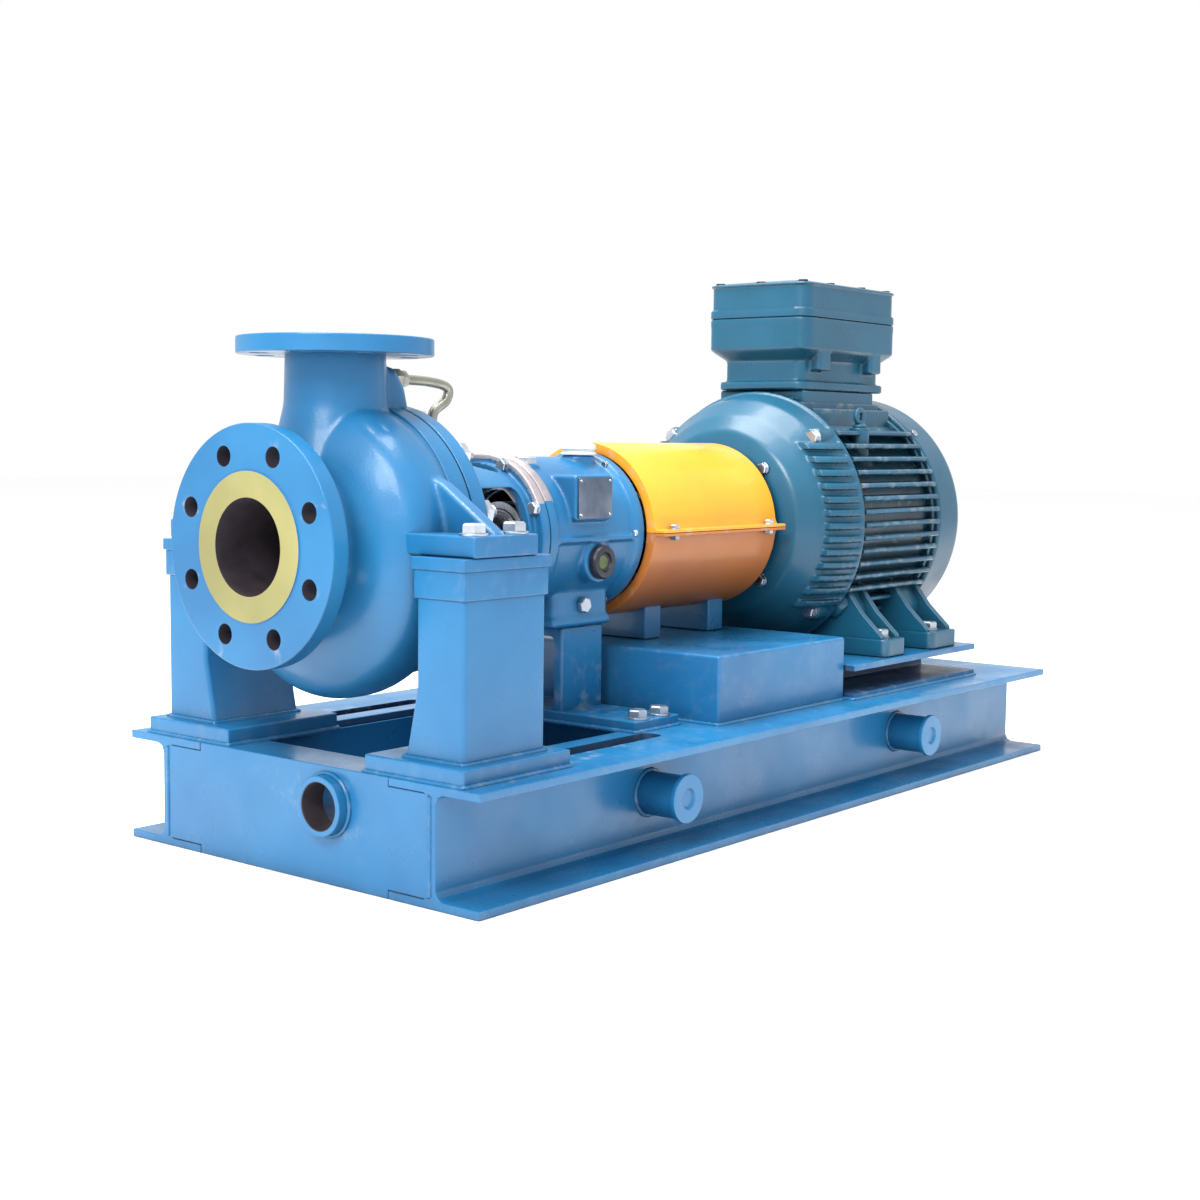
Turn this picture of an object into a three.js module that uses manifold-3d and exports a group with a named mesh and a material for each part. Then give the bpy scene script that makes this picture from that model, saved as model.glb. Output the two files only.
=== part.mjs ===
// Horizontal centrifugal process pump set: an end-suction pump, held at its centreline by two
// pedestals, a spacer coupling under a guard, and a totally enclosed motor, on a fabricated base.
// Millimetres, +Z up. Inside this file X is measured from the base's pump end towards the motor,
// Y from the shaft's vertical plane and Z from the floor; the last line moves the set so that its
// origin is the middle of its outline, on the floor.
import * as THREE from "three";
import { mergeVertices } from "three/addons/utils/BufferGeometryUtils.js";
import Module from "manifold-3d";

const wasm = await Module();
wasm.setup();

// ---- Driving dimensions -------------------------------------------------------------------------

const GAP = 0.3; // left between two pieces that touch
const COARSE = 12; // sides of a small round piece
const MEDIUM = 16;
const FINE = 24;
const HOLE = 8;

const SHAFT_HEIGHT = 352;
const BASE = { length: 1260, width: 548 };
const BEAM = { height: 125, flange: 125, flangeThickness: 9, web: 7 };
const BEAM_SLOT = { x: [214, 390], y: [176, 205] };
const CHANNEL = { depth: 60, thickness: 8 };
const PAN = { end: 470, floor: 50, wall: 6 };
const DRAIN = { y: -60, z: 84.5, radius: 32, bore: 25 };
const TRUNNION = { x: [348, 914], z: 66, pipe: 25, end: 28, recess: 12 };
const FLANGE_HOLES = { count: 8, radius: 11 };
const SUCTION = { face: -55, radius: 127, thickness: 23, boltCircle: 100, raised: 78.5, bore: 51 };
const DISCHARGE = { x: 67, face: 572, radius: 105, thickness: 20, boltCircle: 84, raised: 63.5, bore: 39 };
const RAISED_FACE = 1.6;
const VOLUTE = { radius: 160, drop: 8, from: 4, to: 117 };
const CASING_BACK = 127;
const COVER = { radius: 150, face: 129.6, back: 150, spigot: 127.4 };
const IMPELLER = { radius: 122, eye: 50, front: 50, back: 94 };
const PEDESTAL = { x: [22, 145], inner: 166, outer: 232, plate: 18, top: 348 };
const STOOL = { x: [486, 776], half: 213, top: 209, wall: 10 };
const RAIL = { x: [780, 1125], inner: 128, outer: 226, web: 10, flange: 8 };
const FLUSH_HEIGHT = 530; // of the tapping in the discharge neck
const ADAPTER = { from: 150.3, to: 312, radius: 118, endRadius: 96 };
const HOUSING = { from: 312.3, to: 484, radius: 92, flange: 99, sumpFloor: 240 };
const SIGHT = { x: 403, z: 320, boss: 25, glass: 20.5 };
const BREATHER = { x: 444, y: -26, seat: SHAFT_HEIGHT + 94 };
const GUARD = { from: 490, to: 760, radius: 110, wall: 3, lip: 16, endRing: 12 };
const SHAFT_SEAT = 24; // radius of both shafts under their coupling hubs
const PUMP_SHAFT_END = 556;
const MOTOR_SHAFT_END = 736;
const COUPLING = { flange: 62, thick: 12, gap: 7 };
const MOTOR = { shield: 800, frame: 872, rear: 1088, end: 1176, core: 166, fins: 184, feet: 172 };
const FINS = { pitch: 26, thickness: 5, eachSide: 4 };
const EYE = { x: 948, y: -125, foot: SHAFT_HEIGHT + 134, radius: 9, wire: 4 };
const TERMINAL_BOX = {
  x: [864, 1122], half: 85, rim: 592, lid: 640, top: 696, neck: 14, neckHalf: 66, wall: 10,
};
const LEAD_HOLE = { x: 980, radius: 30 };

// ---- Materials ----------------------------------------------------------------------------------

function finish(color, roughness, metalness) {
  return new THREE.MeshStandardMaterial({ color, roughness, metalness });
}

const PUMP_PAINT = finish(0x3f8fd0, 0.35, 0.1);
const MOTOR_PAINT = finish(0x1f6d9c, 0.4, 0.1);
const GUARD_UPPER_PAINT = finish(0xffb81c, 0.4, 0.0);
const CAST_STEEL = finish(0x6c7076, 0.6, 0.8);
const MACHINED_STEEL = finish(0xb9bcc0, 0.3, 0.9);
const ZINC = finish(0x9aa0a4, 0.45, 0.85);
const GRAPHITE = finish(0x2a2b2d, 0.6, 0.1);
const GLASS = finish(0xc7d36a, 0.1, 0.0);
const PLASTIC = finish(0xc9ccc8, 0.5, 0.0);
const COPPER = finish(0x8a5a3a, 0.5, 0.6);

// ---- Geometry helpers ---------------------------------------------------------------------------

const UP = new THREE.Vector3(0, 1, 0);

// A closed geometry as a solid that can be joined and cut.
function solid(geometry) {
  geometry.deleteAttribute("normal");
  geometry.deleteAttribute("uv");
  const merged = mergeVertices(geometry);
  const corners = merged.index.array;
  const triangles = [];
  for (let i = 0; i < corners.length; i += 3) {
    const [a, b, c] = corners.slice(i, i + 3);
    if (a !== b && b !== c && c !== a) {
      triangles.push(a, b, c);
    }
  }
  const mesh = new wasm.Mesh({
    numProp: 3,
    vertProperties: merged.attributes.position.array,
    triVerts: new Uint32Array(triangles),
  });
  return new wasm.Manifold(mesh);
}

function join(first, ...others) {
  return others.reduce((whole, part) => whole.add(part), first);
}

function cut(first, ...tools) {
  return tools.reduce((whole, tool) => whole.subtract(tool), first);
}

// A named mesh from a solid.
function piece(name, material, body) {
  const { vertProperties, triVerts } = body.getMesh();
  const geometry = new THREE.BufferGeometry();
  geometry.setAttribute("position", new THREE.BufferAttribute(vertProperties, 3));
  geometry.setIndex(new THREE.BufferAttribute(triVerts, 1));
  geometry.computeVertexNormals();
  const mesh = new THREE.Mesh(geometry, material);
  mesh.name = name;
  return mesh;
}

function block([x0, x1], [y0, y1], [z0, z1]) {
  const geometry = new THREE.BoxGeometry(x1 - x0, y1 - y0, z1 - z0);
  geometry.translate((x0 + x1) / 2, (y0 + y1) / 2, (z0 + z1) / 2);
  return solid(geometry);
}

// The Y interval from inner to outer on the near (-1) or far (+1) side.
function across(side, inner, outer) {
  return side > 0 ? [inner, outer] : [-outer, -inner];
}

// A body of revolution about a level line, the shaft's unless said, from a list of [x, radius] corners.
function turned(profile, sides = FINE, height = SHAFT_HEIGHT) {
  const corners = profile.map(([x, radius]) => new THREE.Vector2(radius, x));
  if (THREE.ShapeUtils.isClockWise(corners)) {
    corners.reverse();
  }
  if (corners[0].x > 0) {
    corners.push(corners[0].clone());
  }
  const geometry = new THREE.LatheGeometry(corners, sides);
  geometry.rotateZ(-Math.PI / 2);
  geometry.translate(0, 0, height);
  return solid(geometry);
}

function ring(x0, x1, inner, outer, sides = FINE) {
  return turned([[x0, inner], [x1, inner], [x1, outer], [x0, outer]], sides);
}

function disc(x0, x1, radius, sides = FINE) {
  return turned([[x0, 0], [x0, radius], [x1, radius], [x1, 0]], sides);
}

// A round bar or cone between two points.
function rod(start, end, radius, sides = COARSE, endRadius = radius) {
  const from = new THREE.Vector3(...start);
  const to = new THREE.Vector3(...end);
  const along = to.clone().sub(from);
  const geometry = new THREE.CylinderGeometry(endRadius, radius, along.length(), sides);
  geometry.applyQuaternion(new THREE.Quaternion().setFromUnitVectors(UP, along.clone().normalize()));
  geometry.translate(...from.add(to).multiplyScalar(0.5).toArray());
  return solid(geometry);
}

function extruded(outline, depth) {
  const shape = new THREE.Shape(outline.map(([a, b]) => new THREE.Vector2(a, b)));
  return new THREE.ExtrudeGeometry(shape, { depth, bevelEnabled: false });
}

// A section of [y, z] corners run along X.
function alongX(outline, x0, x1) {
  const axes = [new THREE.Vector3(0, 1, 0), new THREE.Vector3(0, 0, 1), new THREE.Vector3(1, 0, 0)];
  const geometry = extruded(outline, x1 - x0);
  geometry.applyMatrix4(new THREE.Matrix4().makeBasis(...axes));
  geometry.translate(x0, 0, 0);
  return solid(geometry);
}

// A section of [x, z] corners run along Y.
function alongY(outline, y0, y1) {
  const geometry = extruded(outline, y1 - y0);
  geometry.rotateX(Math.PI / 2);
  geometry.translate(0, y1, 0);
  return solid(geometry);
}

// The places of a bolt circle's holes, the first half a step away from the vertical.
function boltCircle(count, radius) {
  return Array.from({ length: count }, (_, i) => {
    const angle = ((i + 0.5) / count) * 2 * Math.PI;
    return [radius * Math.sin(angle), radius * Math.cos(angle)];
  });
}

// ---- Base ---------------------------------------------------------------------------------------

const TIP = BASE.width / 2;
const BEAM_CENTRE = TIP - BEAM.flange / 2;
const WEB_OUTER = BEAM_CENTRE + BEAM.web / 2;
const WEB_INNER = BEAM_CENTRE - BEAM.web / 2;
const INNER_TIP = TIP - BEAM.flange;
const DECK_TOP = BEAM.height;
const DECK_THICKNESS = 8;
const SEAT = DECK_TOP + GAP; // underside of whatever stands on the base

// An I-section of [across, z] corners about a centre.
function beamSection(centre, width, height, flange, web) {
  const [a, b] = [width / 2, web / 2];
  const right = [[a, 0], [a, flange], [b, flange], [b, height - flange], [a, height - flange],
    [a, height]];
  const left = right.map(([y, z]) => [-y, z]).reverse();
  return [...right, ...left].map(([y, z]) => [y + centre, z]);
}

// A rolled beam with a long slot in its top flange, beside the pump pedestal.
function sideBeam(name, side) {
  const { height, flange, flangeThickness, web } = BEAM;
  const section = beamSection(side * BEAM_CENTRE, flange, height, flangeThickness, web);
  const slot = block(BEAM_SLOT.x, across(side, ...BEAM_SLOT.y), [height - 2 * flangeThickness, height + 5]);
  return piece(name, PUMP_PAINT, cut(alongX(section, 0, BASE.length), slot));
}

// A channel across an end of the base, with its back flush with the ends of the side beams.
function endBeam(name, back, inward, drainHole) {
  const { depth, thickness } = CHANNEL;
  const reach = (far) => [back, back + inward * far].sort((a, b) => a - b);
  const wide = [-(WEB_INNER - GAP), WEB_INNER - GAP];
  const narrow = [-(INNER_TIP - GAP), INNER_TIP - GAP];
  const clearOfFlanges = [BEAM.flangeThickness + GAP, BEAM.height - BEAM.flangeThickness - GAP];
  const channel = join(
    block(reach(thickness), wide, clearOfFlanges),
    block(reach(thickness), narrow, [0, BEAM.height]),
    block(reach(depth), narrow, [0, thickness]),
    block(reach(depth), narrow, [BEAM.height - thickness, BEAM.height]),
  );
  return piece(name, PUMP_PAINT, drainHole ? cut(channel, drainHole) : channel);
}

// A cross member under the deck.
function crossBeam(name, x) {
  const [width, thickness] = [70, 7];
  const section = beamSection(x, width, BEAM.height - DECK_THICKNESS - GAP, thickness, thickness);
  return piece(name, PUMP_PAINT, alongY(section, -(INNER_TIP - GAP), INNER_TIP - GAP));
}

function drainRod(x0, x1, radius) {
  return rod([x0, DRAIN.y, DRAIN.z], [x1, DRAIN.y, DRAIN.z], radius, MEDIUM);
}

// An open tray under the pump that catches leakage and lets it out through the drain coupling.
function dripPan() {
  const { end, floor, wall } = PAN;
  const start = CHANNEL.thickness + GAP;
  const half = INNER_TIP - 2;
  const outer = block([start, end], [-half, half], [floor, BEAM.height - CHANNEL.thickness - GAP]);
  const inner = block([start + wall, end - wall], [-half + wall, half - wall], [floor + wall, BEAM.height]);
  return piece("drip_pan", PUMP_PAINT, cut(outer, inner, drainRod(0, 20, DRAIN.radius + GAP)));
}

function drainCoupling() {
  const coupling = cut(drainRod(-14, 16, DRAIN.radius), drainRod(-20, 20, DRAIN.bore));
  return piece("drain_coupling", PUMP_PAINT, coupling);
}

function deckPlate() {
  const half = INNER_TIP - GAP;
  const x = [PAN.end + GAP, BASE.length - CHANNEL.depth - GAP];
  return piece("deck_plate", PUMP_PAINT, block(x, [-half, half], [DECK_TOP - DECK_THICKNESS, DECK_TOP]));
}

// A short post with a retaining disc on its end, welded to the outside of a side beam for slings.
function trunnion(name, side, x) {
  const { z, pipe, end, recess } = TRUNNION;
  const outward = (from, to, radius) => rod([x, side * from, z], [x, side * to, z], radius, MEDIUM);
  const post = outward(WEB_OUTER + GAP, TIP - 8, pipe);
  const retainer = outward(TIP - 9, TIP - 3, end);
  const hollow = outward(TIP - 6, TIP, recess);
  return piece(name, PUMP_PAINT, cut(join(post, retainer), hollow));
}

// A fabricated hollow post on a foot plate; it carries one foot of the pump casing at shaft height.
function pumpPedestal(name, side) {
  const { x, inner, outer, plate, top } = PEDESTAL;
  const bottom = SEAT + plate;
  const column = [[inner - 16, bottom - 1], [outer, bottom - 1], [outer, 310], [inner, 310], [inner, 215]];
  const post = alongX(column.map(([y, z]) => [side * y, z]), ...x);
  const footPlate = block([6, 168], across(side, 108, 248), [SEAT, bottom]);
  const collar = block([x[0] - 2, x[1] + 2], across(side, inner - 2, outer + 2), [306, 336]);
  const cap = block([x[0] - 4, x[1] + 4], across(side, inner - 4, outer + 4), [335, top]);
  const hollow = block([x[0] + 10, x[1] - 10], across(side, inner + 10, outer - 10), [SEAT - 5, 324]);
  return piece(name, PUMP_PAINT, cut(join(post, footPlate, collar, cap), hollow));
}

// A box stool, open underneath, ahead of the motor and under the coupling.
function motorStool() {
  const { x, half, top, wall } = STOOL;
  const outer = block(x, [-half, half], [SEAT, top]);
  const inner = block([x[0] + wall, x[1] - wall], [-half + wall, half - wall], [SEAT - 5, top - wall - 2]);
  return piece("motor_stool", PUMP_PAINT, cut(outer, inner));
}

// A channel under the motor's feet on one side, open outwards.
function motorRail(name, side) {
  const { x, inner, outer, web, flange } = RAIL;
  const top = MOTOR.feet - GAP;
  const rail = block(x, across(side, inner, outer), [SEAT, top]);
  const hollow = block([x[0] - 1, x[1] + 1], across(side, inner + web, outer + 1),
    [SEAT + flange, top - flange]);
  return piece(name, PUMP_PAINT, cut(rail, hollow));
}

// ---- Pump casing and cover ----------------------------------------------------------------------

// The volute's round body, whose centre lies below the shaft line.
function voluteBody(grow) {
  const { radius, from, to } = VOLUTE;
  const r = radius + grow;
  const profile = [[from - grow, 0], [from - grow, 92 + grow], [18 - grow, 128 + grow],
    [34 - grow / 2, r - 8], [52, r], [84, r], [104 + grow / 2, r - 8], [to + grow, 138 + grow],
    [to + grow, 0]];
  return turned(profile, FINE, SHAFT_HEIGHT - VOLUTE.drop);
}

function raisedFlangeUp({ x, face, radius, thickness, raised }) {
  const flange = rod([x, 0, face - thickness], [x, 0, face - RAISED_FACE], radius, FINE);
  return join(flange, rod([x, 0, face - thickness + 1], [x, 0, face], raised, FINE));
}

// A flat foot at shaft height, resting on a pedestal.
function casingFoot(side) {
  const { top } = PEDESTAL;
  const foot = block([30, CASING_BACK - 1], across(side, 110, 238), [top + GAP, top + 22]);
  const web = block([72, 92], across(side, 110, 210), [top + 20, top + 46]);
  return join(foot, web);
}

function pumpCasing() {
  const { face, radius, thickness, raised, bore } = SUCTION;
  const nozzle = turned([[face, 0], [face, raised], [face + RAISED_FACE, raised],
    [face + RAISED_FACE, radius], [face + thickness, radius], [face + thickness, 76], [-2, 84], [40, 100],
    [40, 0]]);
  const backFlange = disc(100, CASING_BACK, COVER.radius);
  const neckFoot = [DISCHARGE.x, 0, SHAFT_HEIGHT + 90];
  const neck = rod(neckFoot, [DISCHARGE.x, 0, DISCHARGE.face - 10], 62, FINE, 54);
  const flushBoss = rod([110, 0, FLUSH_HEIGHT], [150, 0, FLUSH_HEIGHT], 11, COARSE);
  const outside = join(voluteBody(0), nozzle, backFlange, neck, raisedFlangeUp(DISCHARGE), flushBoss,
    casingFoot(-1), casingFoot(1));
  const suctionHoles = boltCircle(FLANGE_HOLES.count, SUCTION.boltCircle).map(([y, z]) =>
    rod([face - 5, y, SHAFT_HEIGHT + z], [face + thickness + 0.5, y, SHAFT_HEIGHT + z],
      FLANGE_HOLES.radius, HOLE));
  const dischargeHoles = boltCircle(FLANGE_HOLES.count, DISCHARGE.boltCircle).map(([x, y]) =>
    rod([DISCHARGE.x + x, y, DISCHARGE.face - DISCHARGE.thickness - 0.5],
      [DISCHARGE.x + x, y, DISCHARGE.face + 5], FLANGE_HOLES.radius, HOLE));
  return piece("pump_casing", PUMP_PAINT, cut(outside,
    voluteBody(-14).subtract(disc(10, 45, 74)),
    disc(face - 5, 32, bore),
    disc(31 - GAP, 50, 66 + GAP),
    disc(100, CASING_BACK + 5, COVER.spigot + GAP),
    rod([DISCHARGE.x, 0, SHAFT_HEIGHT + 60], [DISCHARGE.x, 0, DISCHARGE.face + 5], DISCHARGE.bore, MEDIUM),
    rod([100, 0, FLUSH_HEIGHT], [155, 0, FLUSH_HEIGHT], 6.5, HOLE),
    ...suctionHoles,
    ...dischargeHoles));
}

function casingCover() {
  const { radius, face, back, spigot } = COVER;
  const profile = [[108, 37], [108, spigot], [face, spigot], [face, radius], [back, radius], [back, 73],
    [208, 73], [208, 45], [120, 45], [120, 37]];
  return piece("casing_cover", PUMP_PAINT, turned(profile));
}

// ---- Pump rotor ---------------------------------------------------------------------------------

// One backward-curved vane between the impeller's two shrouds.
function vane(turn) {
  const steps = 5;
  const [hubRadius, tipRadius, sweep, thickness] = [46, 119, 1.5, 0.075];
  const edge = (lead) => Array.from({ length: steps }, (_, i) => {
    const t = i / (steps - 1);
    const radius = hubRadius + t * (tipRadius - hubRadius);
    const angle = turn + sweep * t + lead;
    return [radius * Math.sin(angle), SHAFT_HEIGHT + radius * Math.cos(angle)];
  });
  return alongX([...edge(0), ...edge(thickness).reverse()], IMPELLER.front + 3, IMPELLER.back - 3);
}

function impeller() {
  const { radius, eye, front, back } = IMPELLER;
  const vanes = 5;
  const frontShroud = turned([[32, eye], [front + 6, eye], [front + 6, radius], [front, radius],
    [front, 57], [32, 57]]);
  const backShroud = turned([[back - 6, 17.6], [back - 6, radius], [back, radius], [back, 34], [110, 34],
    [110, 17.6]]);
  const hub = ring(48, back - 5, 17.6, 30, MEDIUM);
  const blades = Array.from({ length: vanes }, (_, i) => vane((i / vanes) * 2 * Math.PI));
  return piece("impeller", CAST_STEEL, join(backShroud, hub, frontShroud, ...blades));
}

// The [x, radius] corners of the shaft, from the impeller nut's thread to the coupling.
const PUMP_SHAFT_STEPS = [[26, 12], [47.5, 12], [47.5, 17], [112, 17], [112, 24.6], [236, 24.6], [236, 27],
  [326, 27], [326, 30], [354, 30], [354, 34], [430, 34], [430, 30], [468, 30], [468, SHAFT_SEAT],
  [PUMP_SHAFT_END, SHAFT_SEAT]];

function shaft(name, steps) {
  const profile = [[steps[0][0], 0], ...steps, [steps.at(-1)[0], 0]];
  return piece(name, MACHINED_STEEL, turned(profile, MEDIUM));
}

function bearingRings(prefix, x0, x1, seat, pitch, outer) {
  const groove = 4;
  const middle = (x0 + x1) / 2;
  const inner = turned([[x0, seat], [x1, seat], [x1, pitch - 7], [middle, pitch - 7 - groove],
    [x0, pitch - 7]], MEDIUM);
  const outside = turned([[x0, pitch + 7], [middle, pitch + 7 + groove], [x1, pitch + 7], [x1, outer],
    [x0, outer]], MEDIUM);
  return [
    piece(`${prefix}_inner_ring`, MACHINED_STEEL, inner),
    piece(`${prefix}_outer_ring`, MACHINED_STEEL, outside),
  ];
}

// ---- Seal ---------------------------------------------------------------------------------------

function sealGland() {
  const body = turned([[208.4, 44], [208.4, 70], [234, 70], [234, 34], [217, 34], [217, 44]]);
  const port = rod([221, 0, SHAFT_HEIGHT + 50], [221, 0, SHAFT_HEIGHT + 82], 11, COARSE);
  const portBore = rod([221, 0, SHAFT_HEIGHT + 30], [221, 0, SHAFT_HEIGHT + 90], 6.5, HOLE);
  return piece("seal_gland", ZINC, cut(join(body, port), portBore));
}

// The flush pipe from the discharge neck to the seal gland.
function sealFlushPipe() {
  const route = new THREE.CatmullRomCurve3([
    new THREE.Vector3(128, 0, FLUSH_HEIGHT),
    new THREE.Vector3(160, 0, FLUSH_HEIGHT),
    new THREE.Vector3(212, 0, 528),
    new THREE.Vector3(238, 0, 522),
    new THREE.Vector3(236, 0, 508),
    new THREE.Vector3(216, 0, 494),
    new THREE.Vector3(214, 0, 470),
    new THREE.Vector3(221, 0, 446),
    new THREE.Vector3(221, 0, 412),
  ]);
  const section = new THREE.Shape().absarc(0, 0, 5.8, 0, 2 * Math.PI, false);
  const geometry = new THREE.ExtrudeGeometry(section, { steps: 30, extrudePath: route, curveSegments: 4 });
  return piece("seal_flush_pipe", ZINC, solid(geometry));
}

// ---- Bearing housing ----------------------------------------------------------------------------

// The open lantern between the casing cover and the bearing housing.
function bearingAdapter() {
  const { from, to, radius, endRadius } = ADAPTER;
  const [flange, sideHalf, topHalf, reach] = [14, 58, 44, 140];
  const shell = turned([[from, 76], [from, radius], [from + flange, radius], [from + 20, 104],
    [to - flange, 84], [to - flange, endRadius], [to, endRadius], [to, 62], [to - flange, 62],
    [to - flange, 74], [from + 20, 92], [from + flange, 76]]);
  const x = [from + 26, to - 26];
  const sideWindow = block(x, [-reach, reach], [SHAFT_HEIGHT - sideHalf, SHAFT_HEIGHT + sideHalf]);
  const topWindow = block(x, [-topHalf, topHalf], [SHAFT_HEIGHT, SHAFT_HEIGHT + reach]);
  return piece("bearing_adapter", PUMP_PAINT, cut(shell, sideWindow, topWindow));
}

function bearingHousing() {
  const { from, to, radius, flange, sumpFloor } = HOUSING;
  const { x, y, seat } = BREATHER;
  const barrel = turned([[from, 62], [from, 96], [from + 14, 96], [from + 14, radius], [to - 14, radius],
    [to - 14, flange], [to, flange], [to, 72], [430, 72], [430, 64], [355, 64], [355, 62]]);
  const sump = block([356, 462], [-62, 62], [sumpFloor, SHAFT_HEIGHT - 70]);
  const sumpHollow = block([368, 450], [-50, 50], [sumpFloor + 12, SHAFT_HEIGHT - 40]);
  const pad = block([352, 420], [-99, -60], [SHAFT_HEIGHT + 18, SHAFT_HEIGHT + 72]);
  const sightBoss = rod([SIGHT.x, -60, SIGHT.z], [SIGHT.x, -94, SIGHT.z], SIGHT.boss, COARSE);
  const breatherBoss = rod([x, y, SHAFT_HEIGHT + 70], [x, y, seat], 20);
  const breatherHole = rod([x, y, SHAFT_HEIGHT + 40], [x, y, seat + 1], 9.4, COARSE);
  const whole = join(barrel, sump, pad, sightBoss, breatherBoss);
  return piece("bearing_housing", PUMP_PAINT,
    cut(whole, disc(355, 435, 63), disc(430, to + 5, 72), sumpHollow, breatherHole));
}

function bearingCover() {
  const [x0, x1, radius, bore] = [HOUSING.to + GAP, 498, 88, 25.5];
  const profile = [[x0, bore], [x0, radius], [x1 - 4, radius], [x1, radius - 8], [x1, bore]];
  return piece("bearing_cover", PUMP_PAINT, turned(profile));
}

function breatherCap() {
  const { x, y, seat } = BREATHER;
  const base = seat + GAP;
  const cap = rod([x, y, base], [x, y, base + 16], 22, MEDIUM, 18);
  const stem = rod([x, y, base - 22], [x, y, base + 2], 8, COARSE);
  return piece("breather_cap", PLASTIC, join(cap, stem));
}

function sightGlass() {
  const rim = rod([SIGHT.x, -94 - GAP, SIGHT.z], [SIGHT.x, -104, SIGHT.z], SIGHT.glass, MEDIUM);
  return piece("oil_sight_glass", GLASS, rim);
}

// A bent-plate foot that spans the side beams and steadies the bearing housing's sump.
function housingFoot() {
  const stem = block([380, 458], [-56, 56], [SEAT + 12, HOUSING.sumpFloor - GAP]);
  const plate = block([376, 462], [-172, 172], [SEAT, SEAT + 13]);
  const arch = block([370, 468], [-44, 44], [SEAT + 13, HOUSING.sumpFloor - 12]);
  return piece("housing_foot", PUMP_PAINT, cut(join(stem, plate), arch));
}

// ---- Coupling and guard -------------------------------------------------------------------------

// A hub from its flanged face, inward along the shaft to its other end.
function couplingHub(name, face, end) {
  const { flange, thick } = COUPLING;
  const [bore, body] = [SHAFT_SEAT + 0.4, 44];
  const step = face + Math.sign(end - face) * thick;
  const profile = [[face, bore], [face, flange], [step, flange], [step, body], [end, body], [end, bore]];
  return piece(name, MACHINED_STEEL, turned(profile, MEDIUM));
}

// The thin discs that let the shafts sit slightly out of line.
function flexDiscs(name, face, inward) {
  const [near, far] = [face + inward * GAP, face + inward * (COUPLING.gap - 0.4)];
  return piece(name, MACHINED_STEEL, ring(near, far, 34, COUPLING.flange - 2, MEDIUM));
}

function couplingSpacer() {
  const { flange, thick, gap } = COUPLING;
  const [bore, tube] = [30, 40];
  const [x0, x1] = [PUMP_SHAFT_END + gap, MOTOR_SHAFT_END - gap];
  const profile = [[x0, bore], [x0, flange], [x0 + thick, flange], [x0 + thick, tube], [x1 - thick, tube],
    [x1 - thick, flange], [x1, flange], [x1, bore]];
  return piece("coupling_spacer", MACHINED_STEEL, turned(profile, MEDIUM));
}

// Half of the guard: a rolled sheet, turned in at the pump end, with a bolting lip along each side
// of the split.
function guardHalf(side) {
  const { from, to, radius, wall, lip, endRing } = GUARD;
  const middle = SHAFT_HEIGHT;
  const keep = side > 0 ? [middle + GAP, middle + 200] : [middle - 200, middle - GAP];
  const lipZ = side > 0 ? [middle + GAP, middle + 4] : [middle - 4, middle - GAP];
  const space = block([from - 5, to + 5], [-200, 200], keep);
  const sheet = ring(from, to, radius - wall, radius).intersect(space);
  const end = ring(from, from + wall, radius - endRing, radius).intersect(space);
  const lips = [-1, 1].map((y) => block([from, to], across(y, radius - wall, radius + lip), lipZ));
  return join(sheet, end, ...lips);
}

function guardUpper() {
  return piece("guard_upper", GUARD_UPPER_PAINT, guardHalf(1));
}

function guardLower() {
  const { from, to, radius, wall } = GUARD;
  const legs = [560, 700].map((x) =>
    block([x, x + 34], [-44, 44], [STOOL.top + GAP, SHAFT_HEIGHT - radius + 12]));
  const clearance = disc(from - 5, to + 5, radius - wall / 2);
  const standing = legs.map((leg) => leg.subtract(clearance));
  return piece("guard_lower", GUARD_UPPER_PAINT, join(guardHalf(-1), ...standing));
}

// ---- Motor --------------------------------------------------------------------------------------

// Straight cooling fins: level ones on both sides, upright ones above and below.
function coolingFins() {
  const { pitch, thickness, eachSide } = FINS;
  const length = [MOTOR.frame + 4, MOTOR.rear - 4];
  const fins = [];
  for (let i = -eachSide; i <= eachSide; i += 1) {
    const offset = i * pitch;
    const reach = Math.sqrt(MOTOR.fins ** 2 - offset ** 2);
    const level = [SHAFT_HEIGHT + offset - thickness / 2, SHAFT_HEIGHT + offset + thickness / 2];
    fins.push(block(length, [-reach, reach], level));
    fins.push(block(length, [offset - thickness / 2, offset + thickness / 2],
      [SHAFT_HEIGHT - reach + 8, SHAFT_HEIGHT + reach]));
  }
  return fins;
}

function motorFoot(side, x0, x1) {
  const foot = block([x0, x1], across(side, 130, 218), [MOTOR.feet, MOTOR.feet + 24]);
  const section = [[60, 212], [140, 272], [188, 196], [188, 190], [120, 190]];
  const leg = alongX(section.map(([y, z]) => [side * y, z]), x0 + 6, x1 - 6);
  return join(foot, leg);
}

// The passage for the windings' leads, up into the terminal box.
function leadHole(z0, z1) {
  return rod([LEAD_HOLE.x, 0, z0], [LEAD_HOLE.x, 0, z1], LEAD_HOLE.radius, COARSE);
}

function motorFrame() {
  const shell = disc(MOTOR.frame + GAP, MOTOR.rear - GAP, MOTOR.core);
  const boxPad = block([885, 1076], [-72, 72], [SHAFT_HEIGHT + 130, SHAFT_HEIGHT + 186]);
  const feet = [-1, 1].flatMap((side) => [motorFoot(side, 876, 934), motorFoot(side, 1006, 1084)]);
  const eyeBoss = rod([EYE.x, EYE.y, SHAFT_HEIGHT + 60], [EYE.x, EYE.y, EYE.foot - GAP], 14);
  const whole = join(shell, ...coolingFins(), boxPad, eyeBoss, ...feet);
  const bore = disc(MOTOR.frame - 5, MOTOR.rear + 5, 148);
  const passage = leadHole(SHAFT_HEIGHT + 120, SHAFT_HEIGHT + 200);
  return piece("motor_frame", MOTOR_PAINT, cut(whole, bore, passage));
}

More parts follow.
